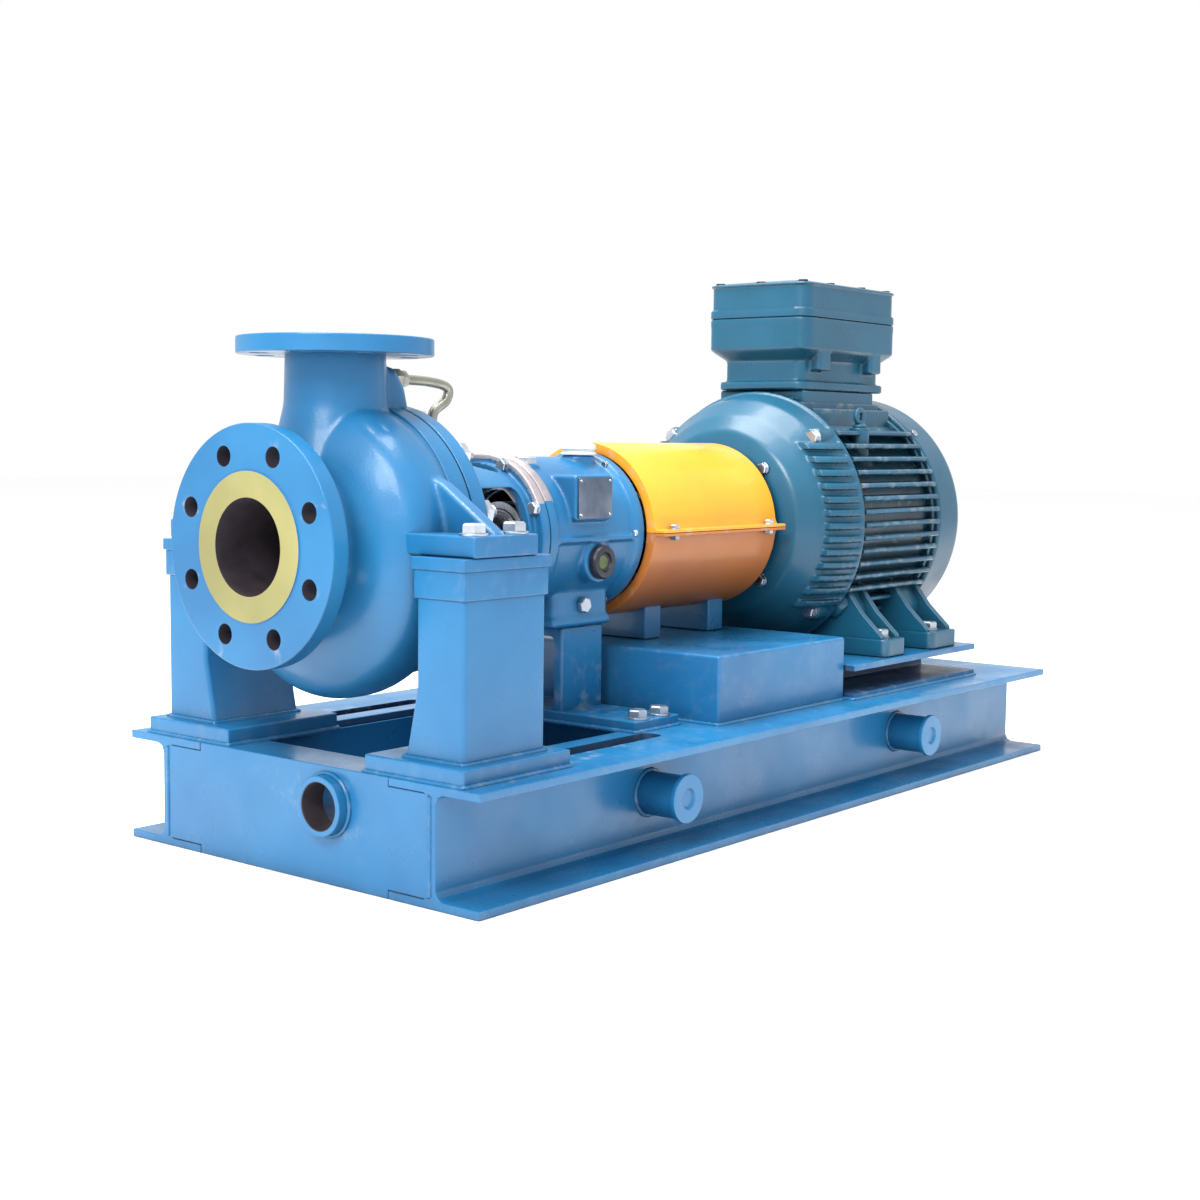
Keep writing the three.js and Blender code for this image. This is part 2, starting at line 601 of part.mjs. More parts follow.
function driveEndShield() {
  const { shield, frame, fins } = MOTOR;
  const outside = [[shield, 32], [shield, 60], [shield - 22, 100], [shield - 14, 128], [shield + 6, 150],
    [shield + 36, 172], [frame, fins]];
  const inside = [[frame, 160], [shield + 50, 150], [shield + 24, 132], [shield + 8, 108],
    [shield + 12, 68], [shield + 38, 66], [shield + 38, 56], [shield + 14, 56], [shield + 14, 32]];
  return piece("drive_end_shield", MOTOR_PAINT, turned([...outside, ...inside]));
}

function rearEndShield() {
  const { rear } = MOTOR;
  const profile = [[rear, 30], [rear, 160], [rear + 14, 160], [rear + 14, 60], [rear + 24, 60],
    [rear + 24, 26], [rear + 20, 26], [rear + 20, 30]];
  return piece("rear_end_shield", MOTOR_PAINT, turned(profile));
}

// The [x, radius] corners of the shaft, from the coupling to the fan.
const MOTOR_SHAFT_STEPS = [[MOTOR_SHAFT_END, SHAFT_SEAT], [800, SHAFT_SEAT], [800, 27.5], [816, 27.5],
  [816, 29.6], [840, 29.6], [840, 37], [1078, 37], [1078, 24.6], [1110, 24.6], [1110, 22], [1146, 22]];

// The external fan: a hub, a back plate and flat radial blades.
function coolingFan() {
  const blades = 8;
  const plate = ring(1118, 1122, 22 + GAP, 140, MEDIUM);
  const hub = ring(1118, 1142, 22 + GAP, 40, MEDIUM);
  const blade = (turn) => {
    const geometry = new THREE.BoxGeometry(22, 4, 104);
    geometry.translate(1132, 0, 88);
    geometry.rotateX(turn);
    geometry.translate(0, 0, SHAFT_HEIGHT);
    return solid(geometry);
  };
  const turns = Array.from({ length: blades }, (_, i) => (i / blades) * 2 * Math.PI);
  return piece("cooling_fan", PLASTIC, join(plate, hub, ...turns.map(blade)));
}

// The sheet cowl over the fan, with an inlet in the middle of its end.
function fanCowl() {
  const { rear, end } = MOTOR;
  const profile = [[rear + 3, 164], [rear + 3, 180], [end - 26, 180], [end - 8, 168], [end, 146], [end, 60],
    [end - 4, 60], [end - 4, 142], [end - 14, 162], [end - 28, 174], [rear + 18, 174], [rear + 18, 164]];
  return piece("fan_cowl", MOTOR_PAINT, turned(profile));
}

function terminalBox() {
  const { x: [x0, x1], half, rim, lid, neck, neckHalf, wall } = TERMINAL_BOX;
  const bottom = SHAFT_HEIGHT + 186 + GAP;
  const upper = block([x0, x1], [-half, half], [rim, lid]);
  const lower = block([x0 + neck, x1 - neck], [-neckHalf, neckHalf], [bottom, rim + 5]);
  const roomUpper = block([x0 + wall, x1 - wall], [-half + wall, half - wall], [rim + 8, lid + 5]);
  const roomLower = block([x0 + neck + wall, x1 - neck - wall], [-neckHalf + wall, neckHalf - wall],
    [bottom + 8, rim + 20]);
  const passage = leadHole(bottom - 5, bottom + 20);
  return piece("terminal_box", MOTOR_PAINT, cut(join(upper, lower), roomUpper, roomLower, passage));
}

// A deep lid with a slightly domed top.
function terminalBoxLid() {
  const { x: [x0, x1], half, lid, top, wall } = TERMINAL_BOX;
  const seat = lid + GAP;
  const crown = [[x0, seat], [x1, seat], [x1, top - 9], [x1 - 40, top - 3], [(x0 + x1) / 2, top],
    [x0 + 40, top - 3], [x0, top - 9]];
  const room = block([x0 + wall, x1 - wall], [-half + wall, half - wall], [seat - 5, top - 18]);
  return piece("terminal_box_lid", MOTOR_PAINT, cut(alongY(crown, -half, half), room));
}

// A blanking plug with a hexagonal collar, in the neck of the terminal box.
function cableEntryPlug() {
  const [x, z] = [925, 577];
  const y = -TERMINAL_BOX.neckHalf - GAP;
  const collar = rod([x, y, z], [x, y - 8, z], 13, 6);
  const plug = rod([x, y - 7, z], [x, y - 14, z], 9, COARSE);
  return piece("cable_entry_plug", ZINC, join(collar, plug));
}

// An eye bolt on the shoulder of the motor frame, beside the terminal box.
function liftingEye() {
  const { x, y, foot, radius, wire } = EYE;
  const eye = new THREE.TorusGeometry(radius, wire, 8, MEDIUM);
  eye.rotateX(Math.PI / 2);
  eye.translate(x, y, foot + radius + 7);
  const collar = rod([x, y, foot], [x, y, foot + 6], 10, COARSE);
  return piece("motor_lifting_eye", MOTOR_PAINT, join(solid(eye), collar));
}

// ---- Assembly -----------------------------------------------------------------------------------

// Turned pieces that need no function of their own, as lists of [x, radius] corners.
const IMPELLER_NUT = [[20, 0], [20, 14], [28, 24], [46, 26], [46, 12.8], [25, 12.8], [25, 0]];
const SHAFT_SLEEVE = [[114, 25.2], [114, 31], [238, 31], [238, 27.6], [235, 27.6], [235, 25.2]];

const base = new THREE.Group();
base.add(
  sideBeam("side_beam_near", -1),
  sideBeam("side_beam_far", 1),
  endBeam("end_beam_pump", 0, 1, drainRod(-5, 20, DRAIN.radius + GAP)),
  endBeam("end_beam_motor", BASE.length, -1, null),
  crossBeam("cross_beam", 640),
  dripPan(),
  drainCoupling(),
  deckPlate(),
  trunnion("lifting_trunnion_near_front", -1, TRUNNION.x[0]),
  trunnion("lifting_trunnion_near_rear", -1, TRUNNION.x[1]),
  trunnion("lifting_trunnion_far_front", 1, TRUNNION.x[0]),
  trunnion("lifting_trunnion_far_rear", 1, TRUNNION.x[1]),
  pumpPedestal("pump_pedestal_near", -1),
  pumpPedestal("pump_pedestal_far", 1),
  motorStool(),
  motorRail("motor_rail_near", -1),
  motorRail("motor_rail_far", 1),
);

const pump = new THREE.Group();
pump.add(
  pumpCasing(),
  piece("casing_wear_ring", CAST_STEEL, ring(31, 44, 58, 66)),
  piece("casing_gasket", GRAPHITE, ring(CASING_BACK + GAP, COVER.face - GAP, 130, 146)),
  casingCover(),
  impeller(),
  piece("impeller_nut", CAST_STEEL, turned(IMPELLER_NUT, COARSE)),
  shaft("pump_shaft", PUMP_SHAFT_STEPS),
  piece("shaft_sleeve", MACHINED_STEEL, turned(SHAFT_SLEEVE, MEDIUM)),
  piece("seal_rotary_ring", GRAPHITE, ring(166, 196, 31.6, 41, MEDIUM)),
  piece("seal_stationary_ring", MACHINED_STEEL, ring(196.4, 216, 33, 43, MEDIUM)),
  sealGland(),
  sealFlushPipe(),
  bearingAdapter(),
  bearingHousing(),
  ...bearingRings("radial_bearing", 328, 352, 30.4, 46, 61),
  ...bearingRings("thrust_bearing", 434, 466, 30.4, 51, 71),
  bearingCover(),
  breatherCap(),
  sightGlass(),
  housingFoot(),
);

const coupling = new THREE.Group();
coupling.add(
  couplingHub("pump_coupling_hub", PUMP_SHAFT_END, 506),
  flexDiscs("flex_discs_pump", PUMP_SHAFT_END, 1),
  couplingSpacer(),
  flexDiscs("flex_discs_motor", MOTOR_SHAFT_END, -1),
  couplingHub("motor_coupling_hub", MOTOR_SHAFT_END, 786),
  guardUpper(),
  guardLower(),
);

const motor = new THREE.Group();
motor.add(
  motorFrame(),
  piece("stator_core", COPPER, ring(905, 1055, 94, 146)),
  piece("rotor_core", CAST_STEEL, ring(905, 1055, 37.6, 91, MEDIUM)),
  shaft("motor_shaft", MOTOR_SHAFT_STEPS),
  driveEndShield(),
  rearEndShield(),
  ...bearingRings("motor_drive_bearing", 818, 837, 30, 43, 55.4),
  coolingFan(),
  fanCowl(),
  terminalBox(),
  terminalBoxLid(),
  cableEntryPlug(),
  liftingEye(),
);

const pumpSet = new THREE.Group();
pumpSet.add(base, pump, coupling, motor);
pumpSet.position.x = -(SUCTION.face + BASE.length) / 2;

export default pumpSet;
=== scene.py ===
"""The looks of a horizontal process pump set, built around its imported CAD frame.

Shapes are made in millimetres, with X measured from the base's pump end, Y from the shaft's upright
plane and Z from the floor, and are moved into the frame's metres as each piece is finished.
"""

import math

import bmesh
import bpy
from mathutils import Matrix, Vector


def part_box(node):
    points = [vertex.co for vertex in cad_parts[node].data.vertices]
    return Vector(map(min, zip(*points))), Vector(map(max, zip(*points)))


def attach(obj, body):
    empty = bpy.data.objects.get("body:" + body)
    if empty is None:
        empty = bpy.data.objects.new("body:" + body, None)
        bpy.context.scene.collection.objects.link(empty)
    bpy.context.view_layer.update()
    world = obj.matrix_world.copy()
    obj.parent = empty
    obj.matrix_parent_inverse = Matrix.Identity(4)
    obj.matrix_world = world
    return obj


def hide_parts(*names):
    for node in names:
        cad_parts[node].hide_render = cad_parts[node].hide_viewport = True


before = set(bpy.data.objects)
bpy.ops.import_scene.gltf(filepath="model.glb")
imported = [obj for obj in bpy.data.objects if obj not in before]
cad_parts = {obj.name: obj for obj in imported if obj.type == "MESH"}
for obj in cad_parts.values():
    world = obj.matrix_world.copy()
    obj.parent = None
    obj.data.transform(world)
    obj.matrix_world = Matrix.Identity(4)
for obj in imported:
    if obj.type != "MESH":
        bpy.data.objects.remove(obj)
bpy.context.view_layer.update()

# ---- Places and sizes, in millimetres -----------------------------------------------------------

MM = 0.001
BASE_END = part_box("side_beam_near")[0].x


def span(node):
    """The X, Y and Z intervals that a CAD node fills."""
    low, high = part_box(node)
    return [((a - start) / MM, (b - start) / MM) for a, b, start in zip(low, high, (BASE_END, 0, 0))]


SHAFT = sum(span("pump_shaft")[2]) / 2
FLOOR_GAP = 0.3  # between touching pieces
DECK = span("deck_plate")[2][1]
SEAT = DECK + FLOOR_GAP

ALONG, BACKWARD = (1, 0, 0), (-1, 0, 0)
UP, DOWN, NEARWARD = (0, 0, 1), (0, 0, -1), (0, -1, 0)

ROUND = 96  # sides of a round piece
FINE_ROUND = 128
SMALL_ROUND = 32

SUCTION = {"face": -55, "radius": 127, "thickness": 23, "circle": 100, "raised": 78.5, "bore": 51}
DISCHARGE = {"x": 67, "face": 572, "radius": 105, "thickness": 20, "circle": 84, "raised": 63.5, "bore": 39}
RAISED_FACE = 1.6
FLANGE_HOLES = 8
FLANGE_HOLE = 11
VOLUTE = {"radius": 160, "drop": 8, "start": 4, "end": 117}
COVER = {"radius": 150, "face": 129.6, "back": 150, "spigot": 127.4}
ADAPTER = {"start": 150.3, "end": 312, "radius": 118, "end_radius": 96}
HOUSING = {"start": 312.3, "end": 484, "radius": 92, "flange": 99, "sump": 240}
SIGHT = (403, -94, 320)
BREATHER = (444, -26, SHAFT + 94)
FILL_PLUG = (338, -34, SHAFT + 84)
GUARD = {"start": 490, "end": 760, "radius": 110, "wall": 3, "lip": 16, "end_ring": 12}
MOTOR = {"shield": 800, "frame": 872, "rear": 1088, "end": 1176, "core": 166, "fins": 184}
FIN_PITCH = 18
EYE = (948, -125, SHAFT + 134)
LEG_STARTS = (560, 700)

# ---- Mesh helpers -------------------------------------------------------------------------------


def rounded(outline, radius, steps=4, axis=None):
    """A closed outline with its corners turned into short arcs.

    Corners whose second value is axis stay sharp.
    """
    smooth = []
    for i, point in enumerate(outline):
        corner = Vector(point)
        if point[1] == axis:
            smooth.append(point)
            continue
        before = Vector(outline[i - 1]) - corner
        after = Vector(outline[(i + 1) % len(outline)]) - corner
        reach = min(radius, 0.45 * before.length, 0.45 * after.length)
        if reach < 0.05:
            smooth.append(tuple(corner))
            continue
        start = corner + before.normalized() * reach
        end = corner + after.normalized() * reach
        for k in range(steps + 1):
            t = k / steps
            smooth.append(tuple((1 - t) ** 2 * start + 2 * t * (1 - t) * corner + t * t * end))
    return smooth


def spun(profile, origin=(0, 0, SHAFT), axis=ALONG, sides=ROUND, corner=0.0):
    """A body of revolution from a closed list of (distance along the axis, radius) corners."""
    if corner:
        profile = rounded(profile, corner, axis=0)
    axis = Vector(axis).normalized()
    side = axis.orthogonal().normalized()
    up = axis.cross(side)
    shape = bmesh.new()
    rings = []
    for along, radius in profile:
        centre = Vector(origin) + axis * along
        if radius < 1e-4:
            rings.append([shape.verts.new(centre)])
            continue
        turns = [2 * math.pi * k / sides for k in range(sides)]
        spokes = [math.cos(t) * side + math.sin(t) * up for t in turns]
        rings.append([shape.verts.new(centre + radius * spoke) for spoke in spokes])
    for a, b in zip(rings, rings[1:] + rings[:1]):
        for k in range(sides):
            n = (k + 1) % sides
            if len(a) == 1 and len(b) == 1:
                break
            if len(a) == 1:
                shape.faces.new((a[0], b[n], b[k]))
            elif len(b) == 1:
                shape.faces.new((a[k], a[n], b[0]))
            else:
                shape.faces.new((a[k], a[n], b[n], b[k]))
    bmesh.ops.recalc_face_normals(shape, faces=shape.faces)
    return shape


def disc(start, end, radius, corner=1.5, **place):
    """A solid round between two distances along its axis."""
    return spun([(start, 0), (start, radius), (end, radius), (end, 0)], corner=corner, **place)


def stacked(levels, axis="z"):
    """A solid through closed outlines of equal length: levels are (height, outline)."""
    order = {"x": (1, 2, 0), "y": (0, 2, 1), "z": (0, 1, 2)}[axis]
    shape = bmesh.new()
    rings = []
    for height, outline in levels:
        ring = []
        for a, b in outline:
            place = [0, 0, 0]
            for value, index in zip((a, b, height), order):
                place[index] = value
            ring.append(shape.verts.new(place))
        rings.append(ring)
    for lower, upper in zip(rings, rings[1:]):
        for k in range(len(lower)):
            n = (k + 1) % len(lower)
            shape.faces.new((lower[k], lower[n], upper[n], upper[k]))
    shape.faces.new(rings[0])
    shape.faces.new(rings[-1])
    bmesh.ops.recalc_face_normals(shape, faces=shape.faces)
    return shape


def prism(outline, start, end, axis="z", edge=1.2):
    shape = stacked([(start, outline), (end, outline)], axis)
    return eased(shape, edge) if edge else shape


def eased(shape, width, segments=3, angle=50):
    """Rounds the sharp edges of a solid."""
    limit = math.radians(angle)
    sharp = [e for e in shape.edges if len(e.link_faces) == 2 and e.calc_face_angle(0) > limit]
    bmesh.ops.bevel(shape, geom=sharp, offset=width, segments=segments, profile=0.5, affect="EDGES",
                    clamp_overlap=True)
    return shape


def rectangle(a, b):
    return [(a[0], b[0]), (a[1], b[0]), (a[1], b[1]), (a[0], b[1])]


def block(x, y, z, edge=1.5):
    return prism(rectangle(x, y), *z, edge=edge)


def across(side, inner, outer):
    """The Y interval from inner to outer on the near (-1) or far (+1) side."""
    return (inner, outer) if side > 0 else (-outer, -inner)


def merged(shapes):
    """Separate closed shells in one mesh."""
    whole = bmesh.new()
    for shape in shapes:
        held = bpy.data.meshes.new("held")
        shape.to_mesh(held)
        shape.free()
        whole.from_mesh(held)
        bpy.data.meshes.remove(held)
    return whole


def lent(shape, name="lent"):
    """An object that holds a shape while a modifier works on it."""
    mesh = bpy.data.meshes.new(name)
    shape.to_mesh(mesh)
    shape.free()
    holder = bpy.data.objects.new(name, mesh)
    bpy.context.scene.collection.objects.link(holder)
    return holder


def returned(holder, *others):
    """The shape that a holder's modifiers make. It and the other holders are removed."""
    bpy.context.view_layer.update()
    graph = bpy.context.evaluated_depsgraph_get()
    shape = bmesh.new()
    shape.from_object(holder, graph)
    for used in (holder, *others):
        mesh = used.data
        bpy.data.objects.remove(used)
        bpy.data.meshes.remove(mesh)
    return shape


def combined(operation, first, shapes):
    holder = lent(first)
    tools = [lent(shape) for shape in shapes]
    for tool in tools:
        step = holder.modifiers.new("step", "BOOLEAN")
        step.operation = operation
        step.solver = "MANIFOLD"
        step.object = tool
    return returned(holder, *tools)


def joined(first, *shapes):
    return combined("UNION", first, shapes)


def cut(first, *shapes):
    return combined("DIFFERENCE", first, shapes)


def cast(shape, grain=2.5, rounds=6):
    """A casting: the inside corners filled and the outside ones rubbed down."""
    holder = lent(shape)
    remesh = holder.modifiers.new("grain", "REMESH")
    remesh.mode = "VOXEL"
    remesh.voxel_size = grain
    smooth = holder.modifiers.new("rub", "SMOOTH")
    smooth.factor = 0.5
    smooth.iterations = rounds
    return returned(holder)


def swept(points, radius, sides=16, closed=False, ripple=0.0, step=3.0):
    """A tube along points; a ripple makes its radius rise and fall as a weld's does."""
    corners = [Vector(p) for p in points] + ([Vector(points[0])] if closed else [])
    line = []
    for a, b in zip(corners, corners[1:]):
        count = max(1, round((b - a).length / step))
        line += [a.lerp(b, k / count) for k in range(count)]
    if not closed:
        line.append(corners[-1])
    shape = bmesh.new()
    rings = []
    side = None
    for i, place in enumerate(line):
        ahead = line[(i + 1) % len(line)] if closed or i + 1 < len(line) else place
        behind = line[i - 1] if closed or i else place
        along = (ahead - behind).normalized()
        side = along.orthogonal() if side is None else side - along * side.dot(along)
        side.normalize()
        up = along.cross(side)
        r = radius * (1 + ripple * math.sin(i * 2.1))
        turns = [2 * math.pi * k / sides for k in range(sides)]
        rings.append([shape.verts.new(place + r * (math.cos(t) * side + math.sin(t) * up)) for t in turns])
    for a, b in zip(rings, rings[1:]):
        for k in range(sides):
            n = (k + 1) % sides
            shape.faces.new((a[k], a[n], b[n], b[k]))
    if closed:
        a, b = rings[-1], rings[0]
        offset = min(range(sides), key=lambda s: (b[s].co - a[0].co).length)
        for k in range(sides):
            n = (k + 1) % sides
            shape.faces.new((a[k], a[n], b[(n + offset) % sides], b[(k + offset) % sides]))
    else:
        shape.faces.new(rings[0])
        shape.faces.new(rings[-1])
    bmesh.ops.recalc_face_normals(shape, faces=shape.faces)
    return shape


def curved(points, count=8):
    """Points along a smooth line through the given ones."""
    controls = [Vector(p) for p in points]
    controls = [controls[0], *controls, controls[-1]]
    line = []
    for a, b, c, d in zip(controls, controls[1:], controls[2:], controls[3:]):
        for k in range(count):
            t = k / count
            line.append(0.5 * (2 * b + (c - a) * t + (2 * a - 5 * b + 4 * c - d) * t * t
                               + (3 * b - a - 3 * c + d) * t ** 3))
    return line + [controls[-1]]


def circle(count, radius, turn=0.5):
    """Places round a circle; turn is how many steps the first is from the vertical."""
    turns = [(k + turn) / count * 2 * math.pi for k in range(count)]
    return [(radius * math.sin(t), radius * math.cos(t)) for t in turns]


def around_shaft(x, count, radius, turn=0.5):
    return [(x, y, SHAFT + z) for y, z in circle(count, radius, turn)]


def holes(places, axis, radius, depth):
    """Round cutters that start a little before each place."""
    return [disc(-2, depth, radius, corner=0, origin=p, axis=axis, sides=SMALL_ROUND) for p in places]


# ---- Fasteners ----------------------------------------------------------------------------------


def hexagon(place, axis, flats, start, height):
    corner = flats / math.sqrt(3)
    profile = [(start, 0), (start, corner * 0.97), (start + 0.6, corner), (start + height * 0.82, corner),
               (start + height, corner * 0.86), (start + height, 0)]
    return spun(profile, origin=place, axis=axis, sides=6)


def threaded(place, axis, radius, start, end):
    pitch = 1.6
    profile = [(start, 0), (start, radius)]
    along = start
    while along + pitch < end - 1:
        profile += [(along + pitch / 2, radius * 0.91), (along + pitch, radius)]
        along += pitch
    profile += [(end, radius * 0.8), (end, 0)]
    return spun(profile, origin=place, axis=axis, sides=20)


def washer(place, axis, radius, thickness):
    return disc(0, thickness, radius, corner=0.4, origin=place, axis=axis, sides=SMALL_ROUND)


def bolt(place, axis, size):
    """A washer and a hexagon head, for a thread of that size."""
    return [washer(place, axis, size * 0.98, size * 0.16),
            hexagon(place, axis, size * 1.5, size * 0.16, size * 0.65)]


def stud(place, axis, size, stand=0.55):
    """A washer, a nut and a threaded end that stands out of it."""
    return [washer(place, axis, size * 0.95, size * 0.16),
            hexagon(place, axis, size * 1.5, size * 0.16, size * 0.85),
            threaded(place, axis, size / 2, size * 0.9, size * (1.01 + stand))]


def socket_screw(place, axis, size):
    head = disc(0, size * 0.9, size * 0.75, corner=0.6, origin=place, axis=axis, sides=SMALL_ROUND)
    low, high, key = size * 0.35, size * 1.2, size * 0.42
    recess = spun([(low, 0), (low, key), (high, key), (high, 0)], origin=place, axis=axis, sides=6)
    return [cut(head, recess)]


# ---- Materials ----------------------------------------------------------------------------------


class Look:
    """A procedural material built on one Principled shader."""

    def __init__(self, name, **sockets):
        self.material = bpy.data.materials.new(name)
        self.material.use_nodes = True
        self.tree = self.material.node_tree
        self.shader = self.tree.nodes["Principled BSDF"]
        for socket, value in sockets.items():
            self.shader.inputs[socket.replace("_", " ")].default_value = value
        self.places = self.tree.nodes.new("ShaderNodeTexCoord").outputs["Object"]

    def link(self, output, socket):
        self.tree.links.new(output, self.shader.inputs[socket])

    def noise(self, scale, detail=4.0, stretch=None):
        node = self.tree.nodes.new("ShaderNodeTexNoise")
        node.inputs["Scale"].default_value = scale
        node.inputs["Detail"].default_value = detail
        places = self.places
        if stretch:
            mapping = self.tree.nodes.new("ShaderNodeMapping")
            mapping.inputs["Scale"].default_value = stretch
            self.tree.links.new(places, mapping.inputs["Vector"])
            places = mapping.outputs["Vector"]
        self.tree.links.new(places, node.inputs["Vector"])
        return node.outputs["Fac"]

    def edges(self):
        return self.tree.nodes.new("ShaderNodeNewGeometry").outputs["Pointiness"]

    def shelter(self, distance):
        """1 in the open, falling to 0 in corners."""
        node = self.tree.nodes.new("ShaderNodeAmbientOcclusion")
        node.samples = 4
        node.inputs["Distance"].default_value = distance
        return node.outputs["AO"]

    def underneath(self):
        """0 on faces that look up or sideways, rising to about a half on those that look down: the mask for
        painted shade underneath.
        """
        parts = self.tree.nodes.new("ShaderNodeSeparateXYZ")
        normal = self.tree.nodes.new("ShaderNodeNewGeometry").outputs["Normal"]
        self.tree.links.new(normal, parts.inputs["Vector"])
        downward = self.tree.nodes.new("ShaderNodeMapRange")
        for socket, value in (("From Min", -0.05), ("From Max", -0.8), ("To Min", 0.0), ("To Max", 0.5)):
            downward.inputs[socket].default_value = value
        self.tree.links.new(parts.outputs["Z"], downward.inputs["Value"])
        return downward.outputs["Result"]

    def ramp(self, factor, *stops):
        """A number or colour for each stop (place, value), smoothly between them."""
        node = self.tree.nodes.new("ShaderNodeValToRGB")
        bar = node.color_ramp
        while len(bar.elements) < len(stops):
            bar.elements.new(0.5)
        for element, (place, value) in zip(bar.elements, stops):
            element.position = place
            element.color = (*value, 1) if isinstance(value, tuple) else (value, value, value, 1)
        self.tree.links.new(factor, node.inputs["Fac"])
        return node.outputs["Color"]

    def times(self, a, b):
        node = self.tree.nodes.new("ShaderNodeMath")
        node.operation = "MULTIPLY"
        self.tree.links.new(a, node.inputs[0])
        self.tree.links.new(b, node.inputs[1])
        return node.outputs["Value"]

    def mix(self, factor, a, b, blend="MIX"):
        node = self.tree.nodes.new("ShaderNodeMix")
        node.data_type = "RGBA"
        node.blend_type = blend
        self.tree.links.new(factor, node.inputs["Factor"])
        for value, socket in ((a, node.inputs[6]), (b, node.inputs[7])):
            if isinstance(value, tuple):
                socket.default_value = (*value, 1)
            else:
                self.tree.links.new(value, socket)
        return node.outputs[2]

    def bump(self, height, strength, distance):
        node = self.tree.nodes.new("ShaderNodeBump")
        node.inputs["Strength"].default_value = strength
        node.inputs["Distance"].default_value = distance
        self.tree.links.new(height, node.inputs["Height"])
        self.link(node.outputs["Normal"], "Normal")


def painted(name, colour, deep, grime_and_shade, grain, strength, roughness=0.3, coat=0.15, wear=0.3):
    """Enamel over cast or rolled steel: faded patches, dirt with painted shade in corners, painted shade on
    faces that look down, rubbed edges.
    """
    look = Look(name, Coat_Weight=coat, Coat_Roughness=0.12, Specular_IOR_Level=0.35)
    faded = look.ramp(look.noise(5.0), (0.36, deep), (0.62, colour))
    speckled = look.mix(look.ramp(look.noise(140.0), (0.58, 0.0), (0.74, 0.22)), faded, deep)
    # Dirt and painted shade: corners found by ambient occlusion darken, in patches, towards the third
    # colour.
    corners = look.ramp(look.shelter(0.03), (0.25, 0.75), (0.8, 0.0))
    patchy = look.ramp(look.noise(28.0), (0.3, 0.45), (0.65, 1.0))
    grimed_and_shaded = look.mix(look.times(corners, patchy), speckled, grime_and_shade)
    rubbed = look.times(look.ramp(look.edges(), (0.54, 0.0), (0.6, 1.0)),
                        look.ramp(look.noise(60.0), (0.52, 0.0), (0.66, wear)))
    # Painted shade: faces that look down darken towards the same colour.
    shaded = look.mix(look.underneath(), grimed_and_shaded, grime_and_shade)
    look.link(look.mix(rubbed, shaded, (0.36, 0.38, 0.4)), "Base Color")
    low, high = roughness - 0.06, roughness + 0.16
    look.link(look.ramp(look.noise(16.0), (0.35, low), (0.7, high)), "Roughness")
    look.bump(look.noise(grain, 3.0), strength, 0.0006)
    return look.material


def metal(name, colour, deep, roughness, stretch=None, scale=60.0, strength=0.12, metallic=1.0):
    """Bare or plated metal, with cutting lines where the noise is stretched."""
    look = Look(name, Metallic=metallic)
    look.link(look.ramp(look.noise(22.0), (0.35, deep), (0.65, colour)), "Base Color")
    low, high = roughness - 0.08, roughness + 0.12
    look.link(look.ramp(look.noise(scale, 4.0, stretch), (0.35, low), (0.7, high)), "Roughness")
    look.bump(look.noise(scale * 6, 2.0, stretch), strength, 0.0002)
    return look.material


def moulded(name, colour, deep, roughness):
    look = Look(name)
    look.link(look.ramp(look.noise(30.0), (0.35, deep), (0.65, colour)), "Base Color")
    look.link(look.ramp(look.noise(90.0), (0.3, roughness - 0.06), (0.7, roughness + 0.1)), "Roughness")
    look.bump(look.noise(900.0, 2.0), 0.15, 0.0002)
    return look.material


# Each triple is a paint's colour, its faded colour, and the colour that dirt and painted shade take.
SKY = ((0.014, 0.15, 0.33), (0.01, 0.112, 0.265), (0.006, 0.03, 0.06))
TEAL = ((0.01, 0.092, 0.165), (0.007, 0.07, 0.125), (0.004, 0.016, 0.025))
PLATE_PAINT = painted("plate_paint", *SKY, grain=90.0, strength=0.12)
# Painted shade: a darker blue for base faces that lie in shadow.
PAINTED_SHADE = painted("painted_shade_enamel", (0.02, 0.07, 0.17), (0.014, 0.05, 0.12), (0.006, 0.02, 0.04),
                     grain=90.0, strength=0.12, roughness=0.45, coat=0.1)
CAST_PAINT = painted("cast_paint", *SKY, grain=420.0, strength=0.32, roughness=0.34)
MOTOR_PAINT = painted("motor_cast_paint", *TEAL, grain=420.0, strength=0.3, roughness=0.32)
MOTOR_SHEET = painted("motor_sheet_paint", *TEAL, grain=90.0, strength=0.1, roughness=0.28)
GUARD_PAINT = painted("guard_enamel", (0.85, 0.36, 0.02), (0.75, 0.28, 0.012), (0.2, 0.07, 0.01),
                      grain=70.0, strength=0.1, roughness=0.3, coat=0.25)
# Painted shade: a darker copy of the guard's orange for its lower half.
GUARD_SHADED_PAINT = painted("guard_painted_shade_enamel", (0.52, 0.17, 0.03), (0.42, 0.13, 0.025),
                            (0.12, 0.04, 0.01), grain=70.0, strength=0.1, roughness=0.34, coat=0.2)
RUST_GUARD = painted("face_preservative", (0.29, 0.27, 0.1), (0.2, 0.19, 0.07), (0.07, 0.07, 0.03),
                     grain=260.0, strength=0.25, roughness=0.46, coat=0.1, wear=0.0)
# Painted shade: near-black for the insides of bores and holes.
BORE_SHADE = moulded("painted_bore_shade", (0.035, 0.026, 0.034), (0.018, 0.014, 0.02), 0.6)
CAST_STEEL = metal("cast_steel", (0.3, 0.3, 0.31), (0.18, 0.175, 0.17), 0.55, scale=120.0, strength=0.35)
TURNED_STEEL = metal("turned_steel", (0.62, 0.62, 0.63), (0.47, 0.47, 0.49), 0.28, (12.0, 0.4, 0.4))
SEAL_STEEL = metal("seal_steel", (0.5, 0.44, 0.42), (0.33, 0.28, 0.27), 0.38, (9.0, 0.5, 0.5))
